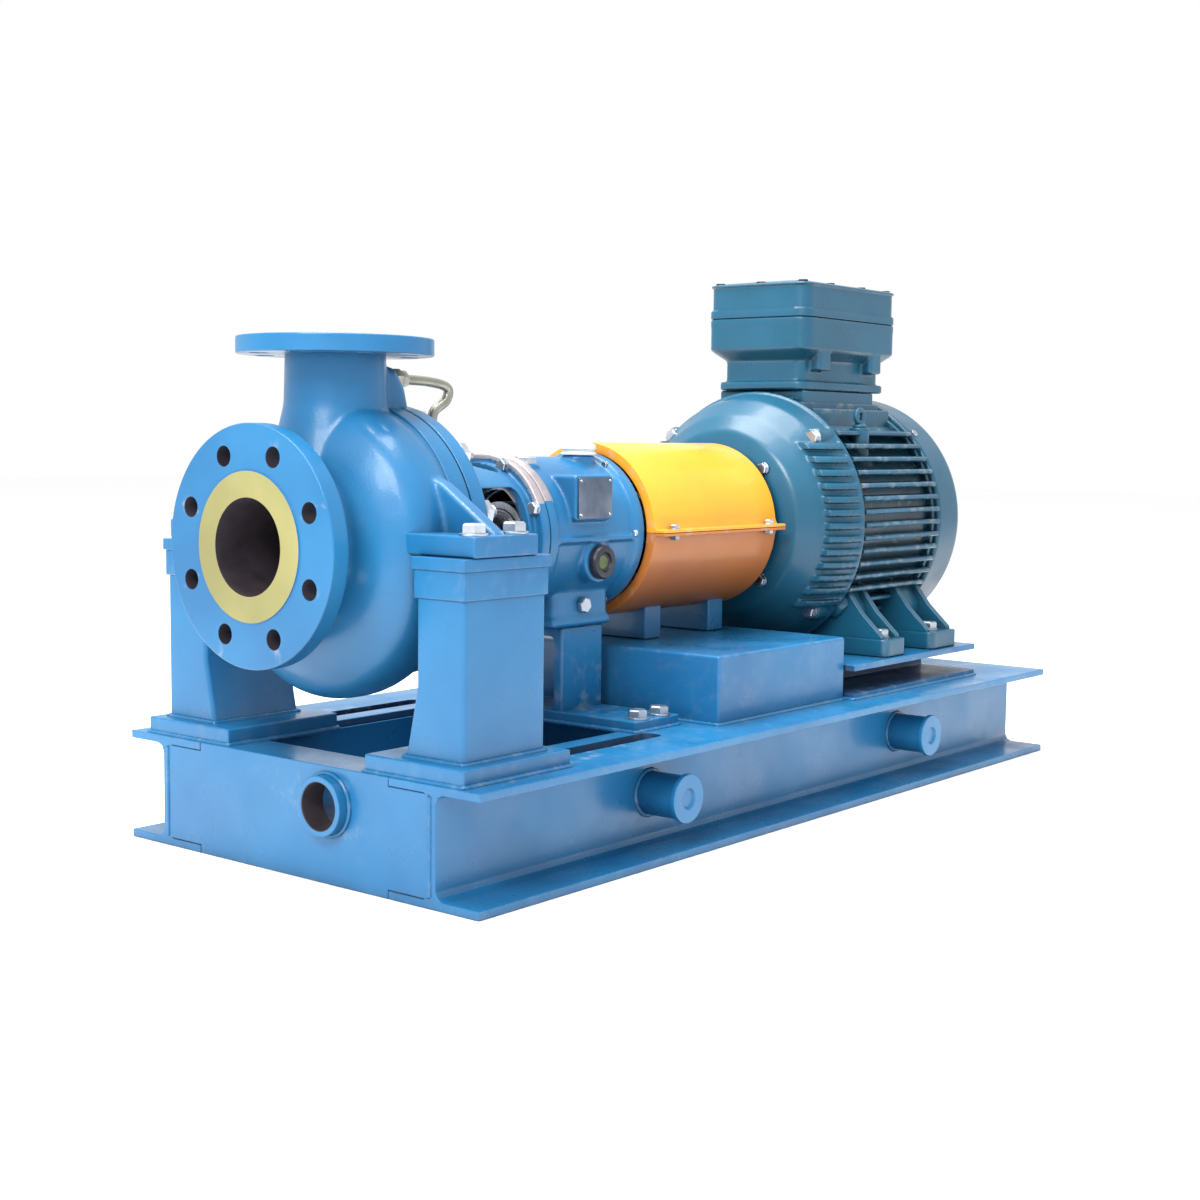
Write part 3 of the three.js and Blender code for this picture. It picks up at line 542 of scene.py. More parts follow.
# Bare metal at the adapter and housing joint, put on its top only: partly the metal's own colour, partly a
# painted highlight.
BARE_AND_HIGHLIT_CASTING = metal("bare_and_highlit_casting", (0.46, 0.42, 0.44), (0.27, 0.24, 0.26), 0.45, scale=120.0,
                     metallic=0.5)
PIPE_STEEL = metal("pipe_steel", (0.4, 0.4, 0.36), (0.24, 0.24, 0.2), 0.4)
ZINC = metal("zinc_plate", (0.5, 0.55, 0.6), (0.32, 0.36, 0.42), 0.36)
BLACK_STEEL = metal("blackened_steel", (0.07, 0.075, 0.085), (0.03, 0.032, 0.04), 0.45, metallic=0.8)
PLATE_METAL = metal("name_plate_metal", (0.2, 0.24, 0.3), (0.1, 0.13, 0.18), 0.35, (1.0, 30.0, 1.0))
GRAPHITE = moulded("graphite", (0.035, 0.035, 0.038), (0.018, 0.018, 0.02), 0.5)
COPPER = metal("varnished_winding", (0.42, 0.2, 0.1), (0.22, 0.1, 0.05), 0.42, (30.0, 2.0, 2.0),
               metallic=0.7)
GREY_PLASTIC = moulded("grey_plastic", (0.6, 0.63, 0.63), (0.5, 0.53, 0.54), 0.42)
OIL = moulded("oil", (0.12, 0.16, 0.05), (0.07, 0.1, 0.03), 0.2)


# ---- Making a piece -----------------------------------------------------------------------------


def piece(name, shape, finish, slot, body="frame", nodes=(), smooth=32, tints=()):
    """Puts a shape into the frame as a named piece that rides on a body.

    tints are (material, test) pairs: the faces whose middle passes the test take that material.
    """
    for index, (_, test) in enumerate(tints, start=1):
        for face in shape.faces:
            if test(face.calc_center_median(), face.normal):
                face.material_index = index
    limit = math.radians(smooth)
    for face in shape.faces:
        face.smooth = True
    for edge in shape.edges:
        edge.smooth = len(edge.link_faces) == 2 and edge.calc_face_angle(0) < limit
    shape.transform(Matrix.Translation((BASE_END, 0, 0)) @ Matrix.Scale(MM, 4))
    mesh = bpy.data.meshes.new(name)
    shape.to_mesh(mesh)
    shape.free()
    for material in (finish, *(tint for tint, _ in tints)):
        mesh.materials.append(material)
    made = bpy.data.objects.new(name, mesh)
    bpy.context.scene.collection.objects.link(made)
    weighted = made.modifiers.new("flat faces stay flat", "WEIGHTED_NORMAL")
    weighted.keep_sharp = True
    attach(made, body)
    if nodes:
        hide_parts(*nodes)
    return made


def standing_for(node, shape, finish, slot, body="frame", **more):
    """A piece that takes one CAD node's place."""
    return piece(f"{node}_fine", shape, finish, slot, body, nodes=(node,), **more)


# ---- Base ---------------------------------------------------------------------------------------

BEAM = {"flange": 125, "height": 125, "thick": 9, "web": 7}
TIP = span("side_beam_far")[1][1]
BEAM_CENTRE = TIP - BEAM["flange"] / 2
WEB_OUTER = BEAM_CENTRE + BEAM["web"] / 2
WEB_INNER = BEAM_CENTRE - BEAM["web"] / 2
INNER_TIP = TIP - BEAM["flange"]
END_PLATE = 8
DRAIN = (0, -60, 84.5)
TRUNNION_Z = 66


def beam_outline(centre, width, height, thick, web, root=10):
    """An I-section with rolled fillets where the web meets the flanges."""
    half, stem = width / 2, web / 2
    quarter = [(half, 0), (half, thick), (stem + root, thick), (stem + root * 0.3, thick + root * 0.3),
               (stem, thick + root)]
    upper = [(a, height - b) for a, b in reversed(quarter)]
    right = quarter + upper
    left = [(-a, b) for a, b in reversed(right)]
    return [(centre + a, b) for a, b in right + left]


def side_beam(node, side):
    x = span(node)[0]
    section = beam_outline(side * BEAM_CENTRE, BEAM["flange"], BEAM["height"], BEAM["thick"], BEAM["web"])
    beam = prism(section, *x, axis="x", edge=1.0)
    slot = prism(rounded(rectangle((214, 390), across(side, 176, 205)), 14, 6), 105, 140, edge=0)
    # Painted shade on the beam's inner faces below its top, which lie in shadow.
    standing_for(node, cut(beam, slot), PLATE_PAINT, "pump_paint", tints=[
        (PAINTED_SHADE, lambda c, n: abs(c.y) < WEB_INNER + 1 and c.z < BEAM["height"] - 1)])


def end_beam(node, back, inward, drain):
    def reach(depth):
        return sorted((back, back + inward * depth))
    wide, narrow = WEB_INNER - FLOOR_GAP, INNER_TIP - FLOOR_GAP
    clear = (BEAM["thick"] + FLOOR_GAP, BEAM["height"] - BEAM["thick"] - FLOOR_GAP)
    channel = joined(
        block(reach(END_PLATE), (-wide, wide), clear, 1),
        block(reach(END_PLATE), (-narrow, narrow), (0, BEAM["height"]), 1),
        block(reach(60), (-narrow, narrow), (0, END_PLATE), 1),
        block(reach(60), (-narrow, narrow), (BEAM["height"] - END_PLATE, BEAM["height"]), 1),
    )
    if drain:
        channel = cut(channel, disc(-5, 20, 32.3, corner=0, origin=DRAIN, sides=ROUND))
    standing_for(node, channel, PLATE_PAINT, "pump_paint")


def cross_beam():
    (x0, x1), y, (_, top) = span("cross_beam")
    section = beam_outline((x0 + x1) / 2, x1 - x0, top, 7, 7, root=8)
    standing_for("cross_beam", prism(section, *y, axis="y", edge=1.0), PLATE_PAINT, "pump_paint")


def drip_pan():
    x, y, z = span("drip_pan")
    wall = 6
    outer = block(x, y, z, 2)
    inner = block((x[0] + wall, x[1] - wall), (y[0] + wall, y[1] - wall), (z[0] + wall, z[1] + 20), 4)
    opening = disc(0, 20, 32.3, corner=0, origin=DRAIN)
    # Painted shade on the pan's side walls, which face the beams.
    standing_for("drip_pan", cut(outer, inner, opening), PLATE_PAINT, "pump_paint", tints=[
        (PAINTED_SHADE, lambda c, n: abs(c.y) > y[1] - 1)])


def drain_coupling():
    (x0, x1) = span("drain_coupling")[0]
    shape = spun([(x0, 25), (x0, 32), (x1, 32), (x1, 25)], origin=DRAIN, corner=1.2)
    # Painted shade in the coupling's bore.
    standing_for("drain_coupling", shape, PLATE_PAINT, "pump_paint",
                 tints=[(BORE_SHADE, lambda c, n: math.hypot(c.y - DRAIN[1], c.z - DRAIN[2]) < 26)])


def deck_plate():
    standing_for("deck_plate", block(*span("deck_plate"), 1.2), PLATE_PAINT, "pump_paint")


def trunnion(node, side):
    (x0, x1) = span(node)[0]
    origin = ((x0 + x1) / 2, side * WEB_OUTER, TRUNNION_Z)
    end = TIP - 3 - WEB_OUTER
    profile = [(FLOOR_GAP, 0), (FLOOR_GAP, 25), (end - 6, 25), (end - 6, 28), (end, 28), (end, 12),
               (end - 3, 10), (end - 3, 0)]
    shape = spun(profile, origin=origin, axis=(0, side, 0), corner=1.2)
    standing_for(node, shape, PLATE_PAINT, "pump_paint")


def pedestal(node, side):
    x = (22, 145)
    inner, outer, foot_top, top = 166, 232, SEAT + 18, 348
    section = [(side * a, b) for a, b in [(inner - 16, foot_top - 1), (outer, foot_top - 1), (outer, 310),
                                          (inner, 310), (inner, 215)]]
    post = eased(prism(section, *x, axis="x", edge=0), 5, segments=4)
    foot = block((6, 168), across(side, 108, 248), (SEAT, foot_top), 2)
    collar = block((x[0] - 2, x[1] + 2), across(side, inner - 2, outer + 2), (306, 336), 2)
    cap = block((x[0] - 4, x[1] + 4), across(side, inner - 4, outer + 4), (335, top), 1.5)
    hollow = block((x[0] + 10, x[1] - 10), across(side, inner + 10, outer - 10), (SEAT - 5, 324), 4)
    standing_for(node, cut(joined(post, foot, collar, cap), hollow), PLATE_PAINT, "pump_paint")


def hollow_stand(node, wall, roof, edge):
    """A fabricated box that is open underneath."""
    x, y, z = span(node)
    outer = block(x, y, z, edge)
    inner = block((x[0] + wall, x[1] - wall), (y[0] + wall, y[1] - wall), (z[0] - 5, z[1] - roof), edge)
    standing_for(node, cut(outer, inner), PLATE_PAINT, "pump_paint")


def motor_rail(node, side):
    """A channel under the motor's feet, open outwards."""
    x, y, z = span(node)
    inner, outer = min(abs(y[0]), abs(y[1])), max(abs(y[0]), abs(y[1]))
    recess = block((x[0] - 5, x[1] + 5), across(side, inner + 10, outer + 5), (z[0] + 8, z[1] - 8), 3)
    # Painted shade in the channel's recess.
    standing_for(node, cut(block(x, y, z, 1.5), recess), PLATE_PAINT, "pump_paint", tints=[
        (PAINTED_SHADE, lambda c, n: abs(c.y) < outer - 1 and z[0] + 4 < c.z < z[1] - 4)])


def weld_round(x, y, z, radius=3.2):
    corners = [(x[0], y[0], z), (x[1], y[0], z), (x[1], y[1], z), (x[0], y[1], z)]
    return swept(corners, radius, sides=8, closed=True, ripple=0.1)


def base_welds():
    """Fillet welds round what stands on the base, and where its members meet."""
    beads = []
    for side in (-1, 1):
        beads.append(weld_round((22, 145), across(side, 150, 232), SEAT + 18))
        beads.append(weld_round((6, 168), across(side, 108, 248), SEAT))
        for node in ("lifting_trunnion_near_front", "lifting_trunnion_near_rear"):
            x = sum(span(node)[0]) / 2
            ring = [(x + a, side * WEB_OUTER, TRUNNION_Z + b) for a, b in circle(48, 26)]
            beads.append(swept(ring, 3, sides=8, closed=True, ripple=0.1))
        for x in (0.5, span("side_beam_near")[0][1] - 3):
            run = [(x, side * (WEB_INNER - 1), 12), (x, side * (WEB_INNER - 1), BEAM["height"] - 12)]
            beads.append(swept(run, 2.5, sides=8, ripple=0.12))
    for node in ("motor_stool", "motor_rail_near", "motor_rail_far", "housing_foot"):
        x, y, z = span(node)
        beads.append(weld_round(x, y, z[0]))
    ring = [(1.5, DRAIN[1] + a, DRAIN[2] + b) for a, b in circle(48, 33)]
    beads.append(swept([(-1, y, z) for _, y, z in ring], 2.6, sides=8, closed=True, ripple=0.1))
    piece("base_welds", merged(beads), PLATE_PAINT, "pump_paint", smooth=60)


def base():
    side_beam("side_beam_near", -1)
    side_beam("side_beam_far", 1)
    end_beam("end_beam_pump", 0, 1, True)
    end_beam("end_beam_motor", span("end_beam_motor")[0][1], -1, False)
    cross_beam()
    drip_pan()
    drain_coupling()
    deck_plate()
    for end in ("front", "rear"):
        trunnion(f"lifting_trunnion_near_{end}", -1)
        trunnion(f"lifting_trunnion_far_{end}", 1)
    pedestal("pump_pedestal_near", -1)
    pedestal("pump_pedestal_far", 1)
    hollow_stand("motor_stool", 10, 12, 4)
    motor_rail("motor_rail_near", -1)
    motor_rail("motor_rail_far", 1)
    base_welds()


# ---- Pump casing and cover ----------------------------------------------------------------------


def volute(grow, spiral):
    """The round of the casing, which swells from the tongue round to the throat."""
    r = VOLUTE["radius"] + grow
    start, end = VOLUTE["start"] - grow, VOLUTE["end"] + grow
    profile = [(start, 0), (start, 92 + grow), (18 - grow, 128 + grow), (34, r - 8), (52, r), (84, r),
               (104, r - 8), (end, 138 + grow), (end, 0)]
    centre = Vector((0, 0, SHAFT - VOLUTE["drop"]))
    shape = spun(profile, origin=centre, corner=16)
    if spiral:
        for vertex in shape.verts:
            y, z = vertex.co.y, vertex.co.z - centre.z
            swept_round = (math.atan2(y, z) % (2 * math.pi)) / (2 * math.pi)
            swell = 0.9 + 0.1 * min(1.0, swept_round * 2.2)
            vertex.co.y = y * swell
            vertex.co.z = centre.z + z * swell
    return shape


def suction_flange():
    face, raised, radius = SUCTION["face"], SUCTION["raised"], SUCTION["radius"]
    profile = [(face, 0), (face, raised), (face + RAISED_FACE, raised), (face + RAISED_FACE, radius),
               (face + SUCTION["thickness"], radius), (face + SUCTION["thickness"], 0)]
    return spun(profile, corner=2.0, sides=FINE_ROUND)


def discharge_flange():
    x, face, raised, radius = (DISCHARGE[k] for k in ("x", "face", "raised", "radius"))
    low = face - DISCHARGE["thickness"]
    profile = [(low, 0), (low, radius), (face - RAISED_FACE, radius), (face - RAISED_FACE, raised),
               (face, raised), (face, 0)]
    return spun(profile, origin=(x, 0, 0), axis=UP, corner=2.0, sides=FINE_ROUND)


def casing_foot(side):
    top = span("pump_pedestal_near")[2][1] + FLOOR_GAP
    return block((30, 126), across(side, 110, 238), (top, top + 21.7), 2.5)


def casing_foot_rib(side):
    """The web that runs from the foot up to the volute."""
    outline = [(side * a, b) for a, b in [(100, 362), (226, 362), (226, 370), (150, 420), (100, 440)]]
    return prism(outline, 72, 92, axis="x", edge=2)


def pump_casing():
    face, thickness = SUCTION["face"], SUCTION["thickness"]
    x = DISCHARGE["x"]
    neck_end = DISCHARGE["face"] - DISCHARGE["thickness"]
    nozzle = spun([(face + 12, 0), (face + 12, 84), (face + thickness + 4, 84), (face + thickness + 12, 77),
                   (-6, 82), (16, 98), (40, 108), (40, 0)], corner=3)
    neck = spun([(430, 0), (430, 74), (470, 62), (500, 55), (neck_end + 6, 53.5), (neck_end + 6, 0)],
                origin=(x, 0, 0), axis=UP, corner=6)
    shoulder = prism([(60, 440), (146, 440), (148, 500), (142, 522), (128, 541), (100, 546), (60, 546)],
                     -34, 34, axis="y", edge=12)
    rough = cast(joined(
        volute(0, True),
        disc(96, 125, COVER["radius"] - 2),
        nozzle,
        neck,
        disc(90, 149, 11, origin=(0, 0, 530)),
        casing_foot_rib(-1),
        casing_foot_rib(1),
        shoulder,
        block((20, 60), (-9, 9), (440, 500), 3),
    ), grain=2.4, rounds=8)
    solid = joined(rough, suction_flange(), discharge_flange(), disc(103, 127, COVER["radius"], corner=2),
                   casing_foot(-1), casing_foot(1))
    flange_holes = holes(around_shaft(face, FLANGE_HOLES, SUCTION["circle"]), ALONG, FLANGE_HOLE, 26)
    top_holes = [(x + a, b, neck_end) for a, b in circle(FLANGE_HOLES, DISCHARGE["circle"])]
    hollow = cut(
        solid,
        cut(volute(-14, False), disc(10, 45, 74)),
        disc(face - 5, 32, SUCTION["bore"], corner=0),
        disc(30.7, 50, 66.3, corner=0),
        disc(100, 132, COVER["spigot"] + FLOOR_GAP, corner=0),
        disc(SHAFT + 60, DISCHARGE["face"] + 5, DISCHARGE["bore"], corner=0, origin=(x, 0, 0), axis=UP),
        disc(100, 155, 6.5, corner=0, origin=(0, 0, 530), sides=SMALL_ROUND),
        *flange_holes,
        *holes(top_holes, UP, FLANGE_HOLE, 26),
    )

    def on_raised_face(c, n):
        return n.x < -0.9 and c.x < face + 0.4

    def in_suction_bore(c, n):
        return face < c.x < 40 and math.hypot(c.y, c.z - SHAFT) < SUCTION["bore"] + 1

    def in_hole(c, n):
        return abs(n.x) < 0.3 and c.x < -20 and any(
            math.hypot(c.y - y, c.z - z) < FLANGE_HOLE + 0.5
            for _, y, z in around_shaft(0, FLANGE_HOLES, SUCTION["circle"]))

    def on_top_face(c, n):
        return n.z > 0.9 and c.z > DISCHARGE["face"] - 0.4

    standing_for("pump_casing", hollow, CAST_PAINT, "pump_paint", smooth=40, tints=[
        (RUST_GUARD, lambda c, n: on_raised_face(c, n) or on_top_face(c, n)),
        # Painted shade in the suction bore and the flange holes.
        (BORE_SHADE, lambda c, n: in_suction_bore(c, n) or in_hole(c, n)),
    ])


def casing_cover():
    profile = [(108, 37), (108, 127.4), (129.6, 127.4), (129.6, 150), (150, 150), (150, 73), (208, 73),
               (208, 45), (120, 45), (120, 37)]
    standing_for("casing_cover", spun(profile, corner=2.5, sides=FINE_ROUND), CAST_PAINT, "pump_paint")


def casing_fasteners():
    shapes = []
    for place in around_shaft(COVER["back"], 12, 134):
        shapes += stud(place, ALONG, 16)
    top = span("pump_pedestal_near")[2][1] + 22
    for side in (-1, 1):
        for x in (46, 106):
            shapes += bolt((x, side * 222, top), UP, 15)
    piece("casing_fasteners", merged(shapes), ZINC, "stainless")


# ---- Pump rotor ---------------------------------------------------------------------------------


def impeller():
    front, back, radius, eye = 50, 94, 122, 50
    front_shroud = spun([(32, eye), (front + 6, eye), (front + 6, radius), (front, radius), (front, 57),
                         (32, 57)], corner=1.5)
    back_shroud = spun([(back - 6, 17.6), (back - 6, radius), (back, radius), (back, 34), (110, 34),
                        (110, 17.6)], corner=1.5)
    hub = spun([(48, 17.6), (48, 26), (60, 30), (back - 5, 34), (back - 5, 17.6)], corner=2)
    blades = []
    steps, count = 14, 5
    for blade in range(count):
        def edge(lead, turn=blade / count * 2 * math.pi):
            points = []
            for i in range(steps):
                t = i / (steps - 1)
                r = 46 + 73 * t
                angle = turn + 1.5 * t + lead
                points.append((r * math.sin(angle), SHAFT + r * math.cos(angle)))
            return points
        blades.append(prism(edge(0) + edge(0.07)[::-1], front + 3, back - 3, axis="x", edge=0))
    shape = joined(back_shroud, hub, front_shroud, *blades)
    standing_for("impeller", shape, CAST_STEEL, "cast_steel", "pump_rotor")


def shaft(node, steps, body):
    profile = [(steps[0][0], 0), *steps, (steps[-1][0], 0)]
    standing_for(node, spun(profile, corner=0.8), TURNED_STEEL, "machined_steel", body)


PUMP_SHAFT = [(26, 12), (47.5, 12), (47.5, 17), (112, 17), (112, 24.6), (236, 24.6), (236, 27), (326, 27),
              (326, 30), (354, 30), (354, 34), (430, 34), (430, 30), (468, 30), (468, 24), (556, 24)]
MOTOR_SHAFT = [(736, 24), (800, 24), (800, 27.5), (816, 27.5), (816, 29.6), (840, 29.6), (840, 37),
               (1078, 37), (1078, 24.6), (1110, 24.6), (1110, 22), (1146, 22)]


def turned_ring(node, x0, x1, inner, outer, finish, slot, body="frame", corner=1.0):
    shape = spun([(x0, inner), (x1, inner), (x1, outer), (x0, outer)], corner=corner)
    standing_for(node, shape, finish, slot, body)


def bearing_rings(prefix, x0, x1, seat, pitch, outer, body):
    """The two rings of a ball bearing, with a round groove in each."""
    middle, half = (x0 + x1) / 2, (x1 - x0) / 2
    wave = [(middle + half * 0.5 * math.cos(math.radians(a)), 4 * math.sin(math.radians(a)))
            for a in range(0, 181, 20)]
    inner = [(x0, seat), (x1, seat), (x1, pitch - 7)] + [(a, pitch - 7 - b) for a, b in wave]
    inner += [(x0, pitch - 7)]
    outside = [(x1, outer), (x1, pitch + 7)] + [(a, pitch + 7 + b) for a, b in wave]
    outside += [(x0, pitch + 7), (x0, outer)]
    standing_for(f"{prefix}_inner_ring", spun(inner, corner=0.5), TURNED_STEEL, "machined_steel", body)
    standing_for(f"{prefix}_outer_ring", spun(outside, corner=0.5), TURNED_STEEL, "machined_steel")


def pump_rotor():
    impeller()
    nut = spun([(20, 0), (20, 14), (28, 24), (46, 26), (46, 12.8), (25, 12.8), (25, 0)], corner=3)
    standing_for("impeller_nut", nut, CAST_STEEL, "cast_steel", "pump_rotor")
    shaft("pump_shaft", PUMP_SHAFT, "pump_rotor")
    sleeve = spun([(114, 25.2), (235, 25.2), (235, 27.6), (238, 27.6), (238, 31), (114, 31)], corner=0.8)
    standing_for("shaft_sleeve", sleeve, TURNED_STEEL, "machined_steel", "pump_rotor")
    turned_ring("seal_rotary_ring", 166, 196, 31.6, 41, GRAPHITE, "graphite", "pump_rotor")
    bearing_rings("radial_bearing", 328, 352, 30.4, 46, 61, "pump_rotor")
    bearing_rings("thrust_bearing", 434, 466, 30.4, 51, 71, "pump_rotor")


# ---- Seal and its flush pipe --------------------------------------------------------------------

FLUSH_ROUTE = [(128, 0, 530), (160, 0, 530), (212, 0, 528), (238, 0, 522), (236, 0, 508), (216, 0, 494),
               (214, 0, 470), (221, 0, 446), (221, 0, 412)]


def seal():
    turned_ring("casing_wear_ring", 31, 44, 58, 66, CAST_STEEL, "cast_steel")
    turned_ring("casing_gasket", 127.3, 129.3, 130, 146, GRAPHITE, "graphite", corner=0.3)
    turned_ring("seal_stationary_ring", 196.4, 216, 33, 43, TURNED_STEEL, "machined_steel")
    body = spun([(208.4, 44), (208.4, 70), (228, 70), (234, 62), (234, 34), (217, 34), (217, 44)],
                corner=1.5)
    port = disc(50, 82, 11, origin=(221, 0, SHAFT), axis=UP, sides=SMALL_ROUND)
    bore = disc(30, 90, 6.5, corner=0, origin=(221, 0, SHAFT), axis=UP, sides=SMALL_ROUND)
    standing_for("seal_gland", cut(joined(body, port), bore), SEAL_STEEL, "stainless")
    pipe = swept(curved(FLUSH_ROUTE), 5.8, sides=20)
    standing_for("seal_flush_pipe", pipe, PIPE_STEEL, "stainless", smooth=60)
    shapes = []
    for place in around_shaft(234, 4, 54):
        shapes += stud(place, ALONG, 10)
    tapping, port_top = ((0, 0, 530), ALONG), ((221, 0, SHAFT), UP)
    shapes += [hexagon(*tapping, 20, 149.5, 12), hexagon(*tapping, 17, 162, 9)]
    shapes += [hexagon(*port_top, 20, 82.5, 11), hexagon(*port_top, 17, 94, 8)]
    piece("seal_fasteners", merged(shapes), PIPE_STEEL, "stainless")


# ---- Bearing housing ----------------------------------------------------------------------------


def bearing_adapter():
    start, end, radius, end_radius = (ADAPTER[k] for k in ("start", "end", "radius", "end_radius"))
    shell = spun([(start, 76), (start, radius), (start + 14, radius), (start + 20, 104), (end - 14, 84),
                  (end - 14, end_radius), (end, end_radius), (end, 62), (end - 14, 62), (end - 14, 74),
                  (start + 20, 92), (start + 14, 76)], corner=3, sides=FINE_ROUND)
    window = rounded(rectangle((start + 26, end - 26), (SHAFT - 58, SHAFT + 58)), 16, 6)
    top = rounded(rectangle((start + 26, end - 26), (-44, 44)), 16, 6)
    side_cutter = prism(window, -140, 140, axis="y", edge=0)
    top_cutter = prism(top, SHAFT, SHAFT + 140, edge=0)
    shape = cast(cut(shell, side_cutter, top_cutter), grain=1.8, rounds=3)
    # Bare metal on the top of the end flange, lighter there also as a painted highlight.
    standing_for("bearing_adapter", shape, CAST_PAINT, "pump_paint", smooth=50,
                 tints=[(BARE_AND_HIGHLIT_CASTING, lambda c, n: c.x > end - 14 and c.z > SHAFT + 40)])
    shapes = []
    for place in around_shaft(end - 14, 8, 89):
        shapes += bolt(place, BACKWARD, 9)
    for place in around_shaft(start + 14, 6, 111):
        shapes += bolt(place, ALONG, 9)
    piece("adapter_fasteners", merged(shapes), ZINC, "stainless")


def bearing_housing():
    start, end, radius, flange = (HOUSING[k] for k in ("start", "end", "radius", "flange"))
    barrel = spun([(start, 40), (start, 96), (start + 14, 96), (start + 18, radius), (end - 18, radius),
                   (end - 14, flange), (end, flange), (end, 40)], corner=3)
    floor = HOUSING["sump"]
    sump = prism(rounded(rectangle((356, 462), (-62, 62)), 10), floor + 4, SHAFT - 30, edge=3)
    sump_foot = block((354, 464), (-64, 64), (floor, floor + 12), 3)
    pad = block((352, 420), (-99, -60), (SHAFT + 18, SHAFT + 72), 3)
    ribs = [prism([(330, SHAFT + a - 3), (468, SHAFT + a - 3), (468, SHAFT + a + 3), (330, SHAFT + a + 3)],
                  60, 97, axis="y", edge=1) for a in (-40, 0, 40)]
    near_rib = block((330, 468), (-96, -60), (SHAFT - 8, SHAFT - 1), 1)
    sight = disc(0, 34, 26, origin=(SIGHT[0], -60, SIGHT[2]), axis=NEARWARD)
    breather = disc(SHAFT + 60, BREATHER[2], 20, origin=(BREATHER[0], BREATHER[1], 0), axis=UP)
    plug = disc(50, 84, 15, origin=(FILL_PLUG[0], FILL_PLUG[1], SHAFT), axis=UP)
    rough = cast(joined(barrel, sump, sump_foot, pad, *ribs, near_rib, sight, breather, plug), 2.0, 4)
    crisp = joined(rough, disc(end - 12, end, flange, corner=1.5), disc(start, start + 12, 96, corner=1.5))
    shape = cut(
        crisp,
        disc(start - 5, 435, 62.5, corner=0),
        disc(430, end + 5, 72, corner=0),
        block((368, 450), (-50, 50), (floor + 12, SHAFT - 40), 3),
        disc(SHAFT + 40, BREATHER[2] + 2, 9.4, corner=0, origin=(BREATHER[0], BREATHER[1], 0), axis=UP),
    )
    # Bare metal on the top of the front flange, lighter there also as a painted highlight.
    standing_for("bearing_housing", shape, CAST_PAINT, "pump_paint", smooth=40,
                 tints=[(BARE_AND_HIGHLIT_CASTING, lambda c, n: c.x < start + 16 and c.z > SHAFT + 40)])
    cover_x = HOUSING["end"] + FLOOR_GAP
    cover = spun([(cover_x, 25.5), (cover_x, 88), (494, 88), (498, 80), (498, 62), (495, 58), (495, 40),
                  (498, 36), (498, 25.5)], corner=1.5)
    standing_for("bearing_cover", cover, CAST_PAINT, "pump_paint")


def housing_fasteners():
    shapes = []
    for place in around_shaft(496, 6, 71):
        shapes += bolt(place, ALONG, 10)
    for place in around_shaft(HOUSING["end"] - 14, 6, 95.5):
        shapes += bolt(place, BACKWARD, 5)
    for side in (-1, 1):
        for x in (398, 440):
            shapes += bolt((x, side * 158, SEAT + 13), UP, 14)
    shapes += [hexagon((FILL_PLUG[0], FILL_PLUG[1], 0), UP, 22, SHAFT + 84, 9)]
    shapes += [hexagon((409, -62.3, 266), NEARWARD, 18, 0, 8)]
    piece("housing_fasteners", merged(shapes), ZINC, "stainless")


def breather():
    x, y, seat = BREATHER
    low = seat + FLOOR_GAP
    cap = spun([(low, 0), (low, 22), (low + 3, 22), (low + 4, 19.5), (low + 6, 19.5), (low + 7, 22),
                (low + 12, 21), (low + 16, 14), (low + 16, 0)], origin=(x, y, 0), axis=UP, corner=1.2)
    stem = disc(low - 22, low + 2, 8, origin=(x, y, 0), axis=UP, sides=SMALL_ROUND)
    standing_for("breather_cap", joined(cap, stem), GREY_PLASTIC, "fan_plastic", "breather_cap")


def sight_glass():
    x, y, z = SIGHT
    place = {"origin": (x, y - FLOOR_GAP, z), "axis": NEARWARD}
    rim = spun([(0, 0), (0, 20.5), (6, 20.5), (9.7, 18.5), (9.7, 12), (6, 11), (6, 8.6),
                (5, 8), (5, 0)], corner=0.8, **place)
    standing_for("oil_sight_glass", rim, BLACK_STEEL, "oil_glass",
                 tints=[(OIL, lambda c, n: math.hypot(c.x - x, c.z - z) < 8.2 and n.y < -0.5)])


def name_plate():
    """A blank plate on the housing's pad, held by four pins."""
    outline = rounded(rectangle((355, 417), (SHAFT + 21, SHAFT + 69)), 3)
    plate = prism(outline, -101.2, -99.4, axis="y", edge=0.4)
    piece("name_plate", plate, PLATE_METAL, "stainless")
    pins = [spun([(0, 0), (0, 2), (1.2, 1.4), (1.4, 0)], origin=(x, -101.1, z), axis=NEARWARD, sides=16)
            for x in (359, 413) for z in (SHAFT + 25, SHAFT + 65)]
    piece("name_plate_pins", merged(pins), ZINC, "stainless")


def housing_foot():
    plate = block((376, 462), (-172, 172), (SEAT, SEAT + 13), 2)
    stem = block((380, 458), (-56, 56), (SEAT + 10, HOUSING["sump"] - FLOOR_GAP), 3)
    arch = prism(rounded(rectangle((-44, 44), (SEAT + 14, HOUSING["sump"] - 12)), 8, 6), 370, 468, axis="x",
                 edge=0)
    standing_for("housing_foot", cut(joined(plate, stem), arch), PLATE_PAINT, "pump_paint")


# ---- Coupling and guard -------------------------------------------------------------------------


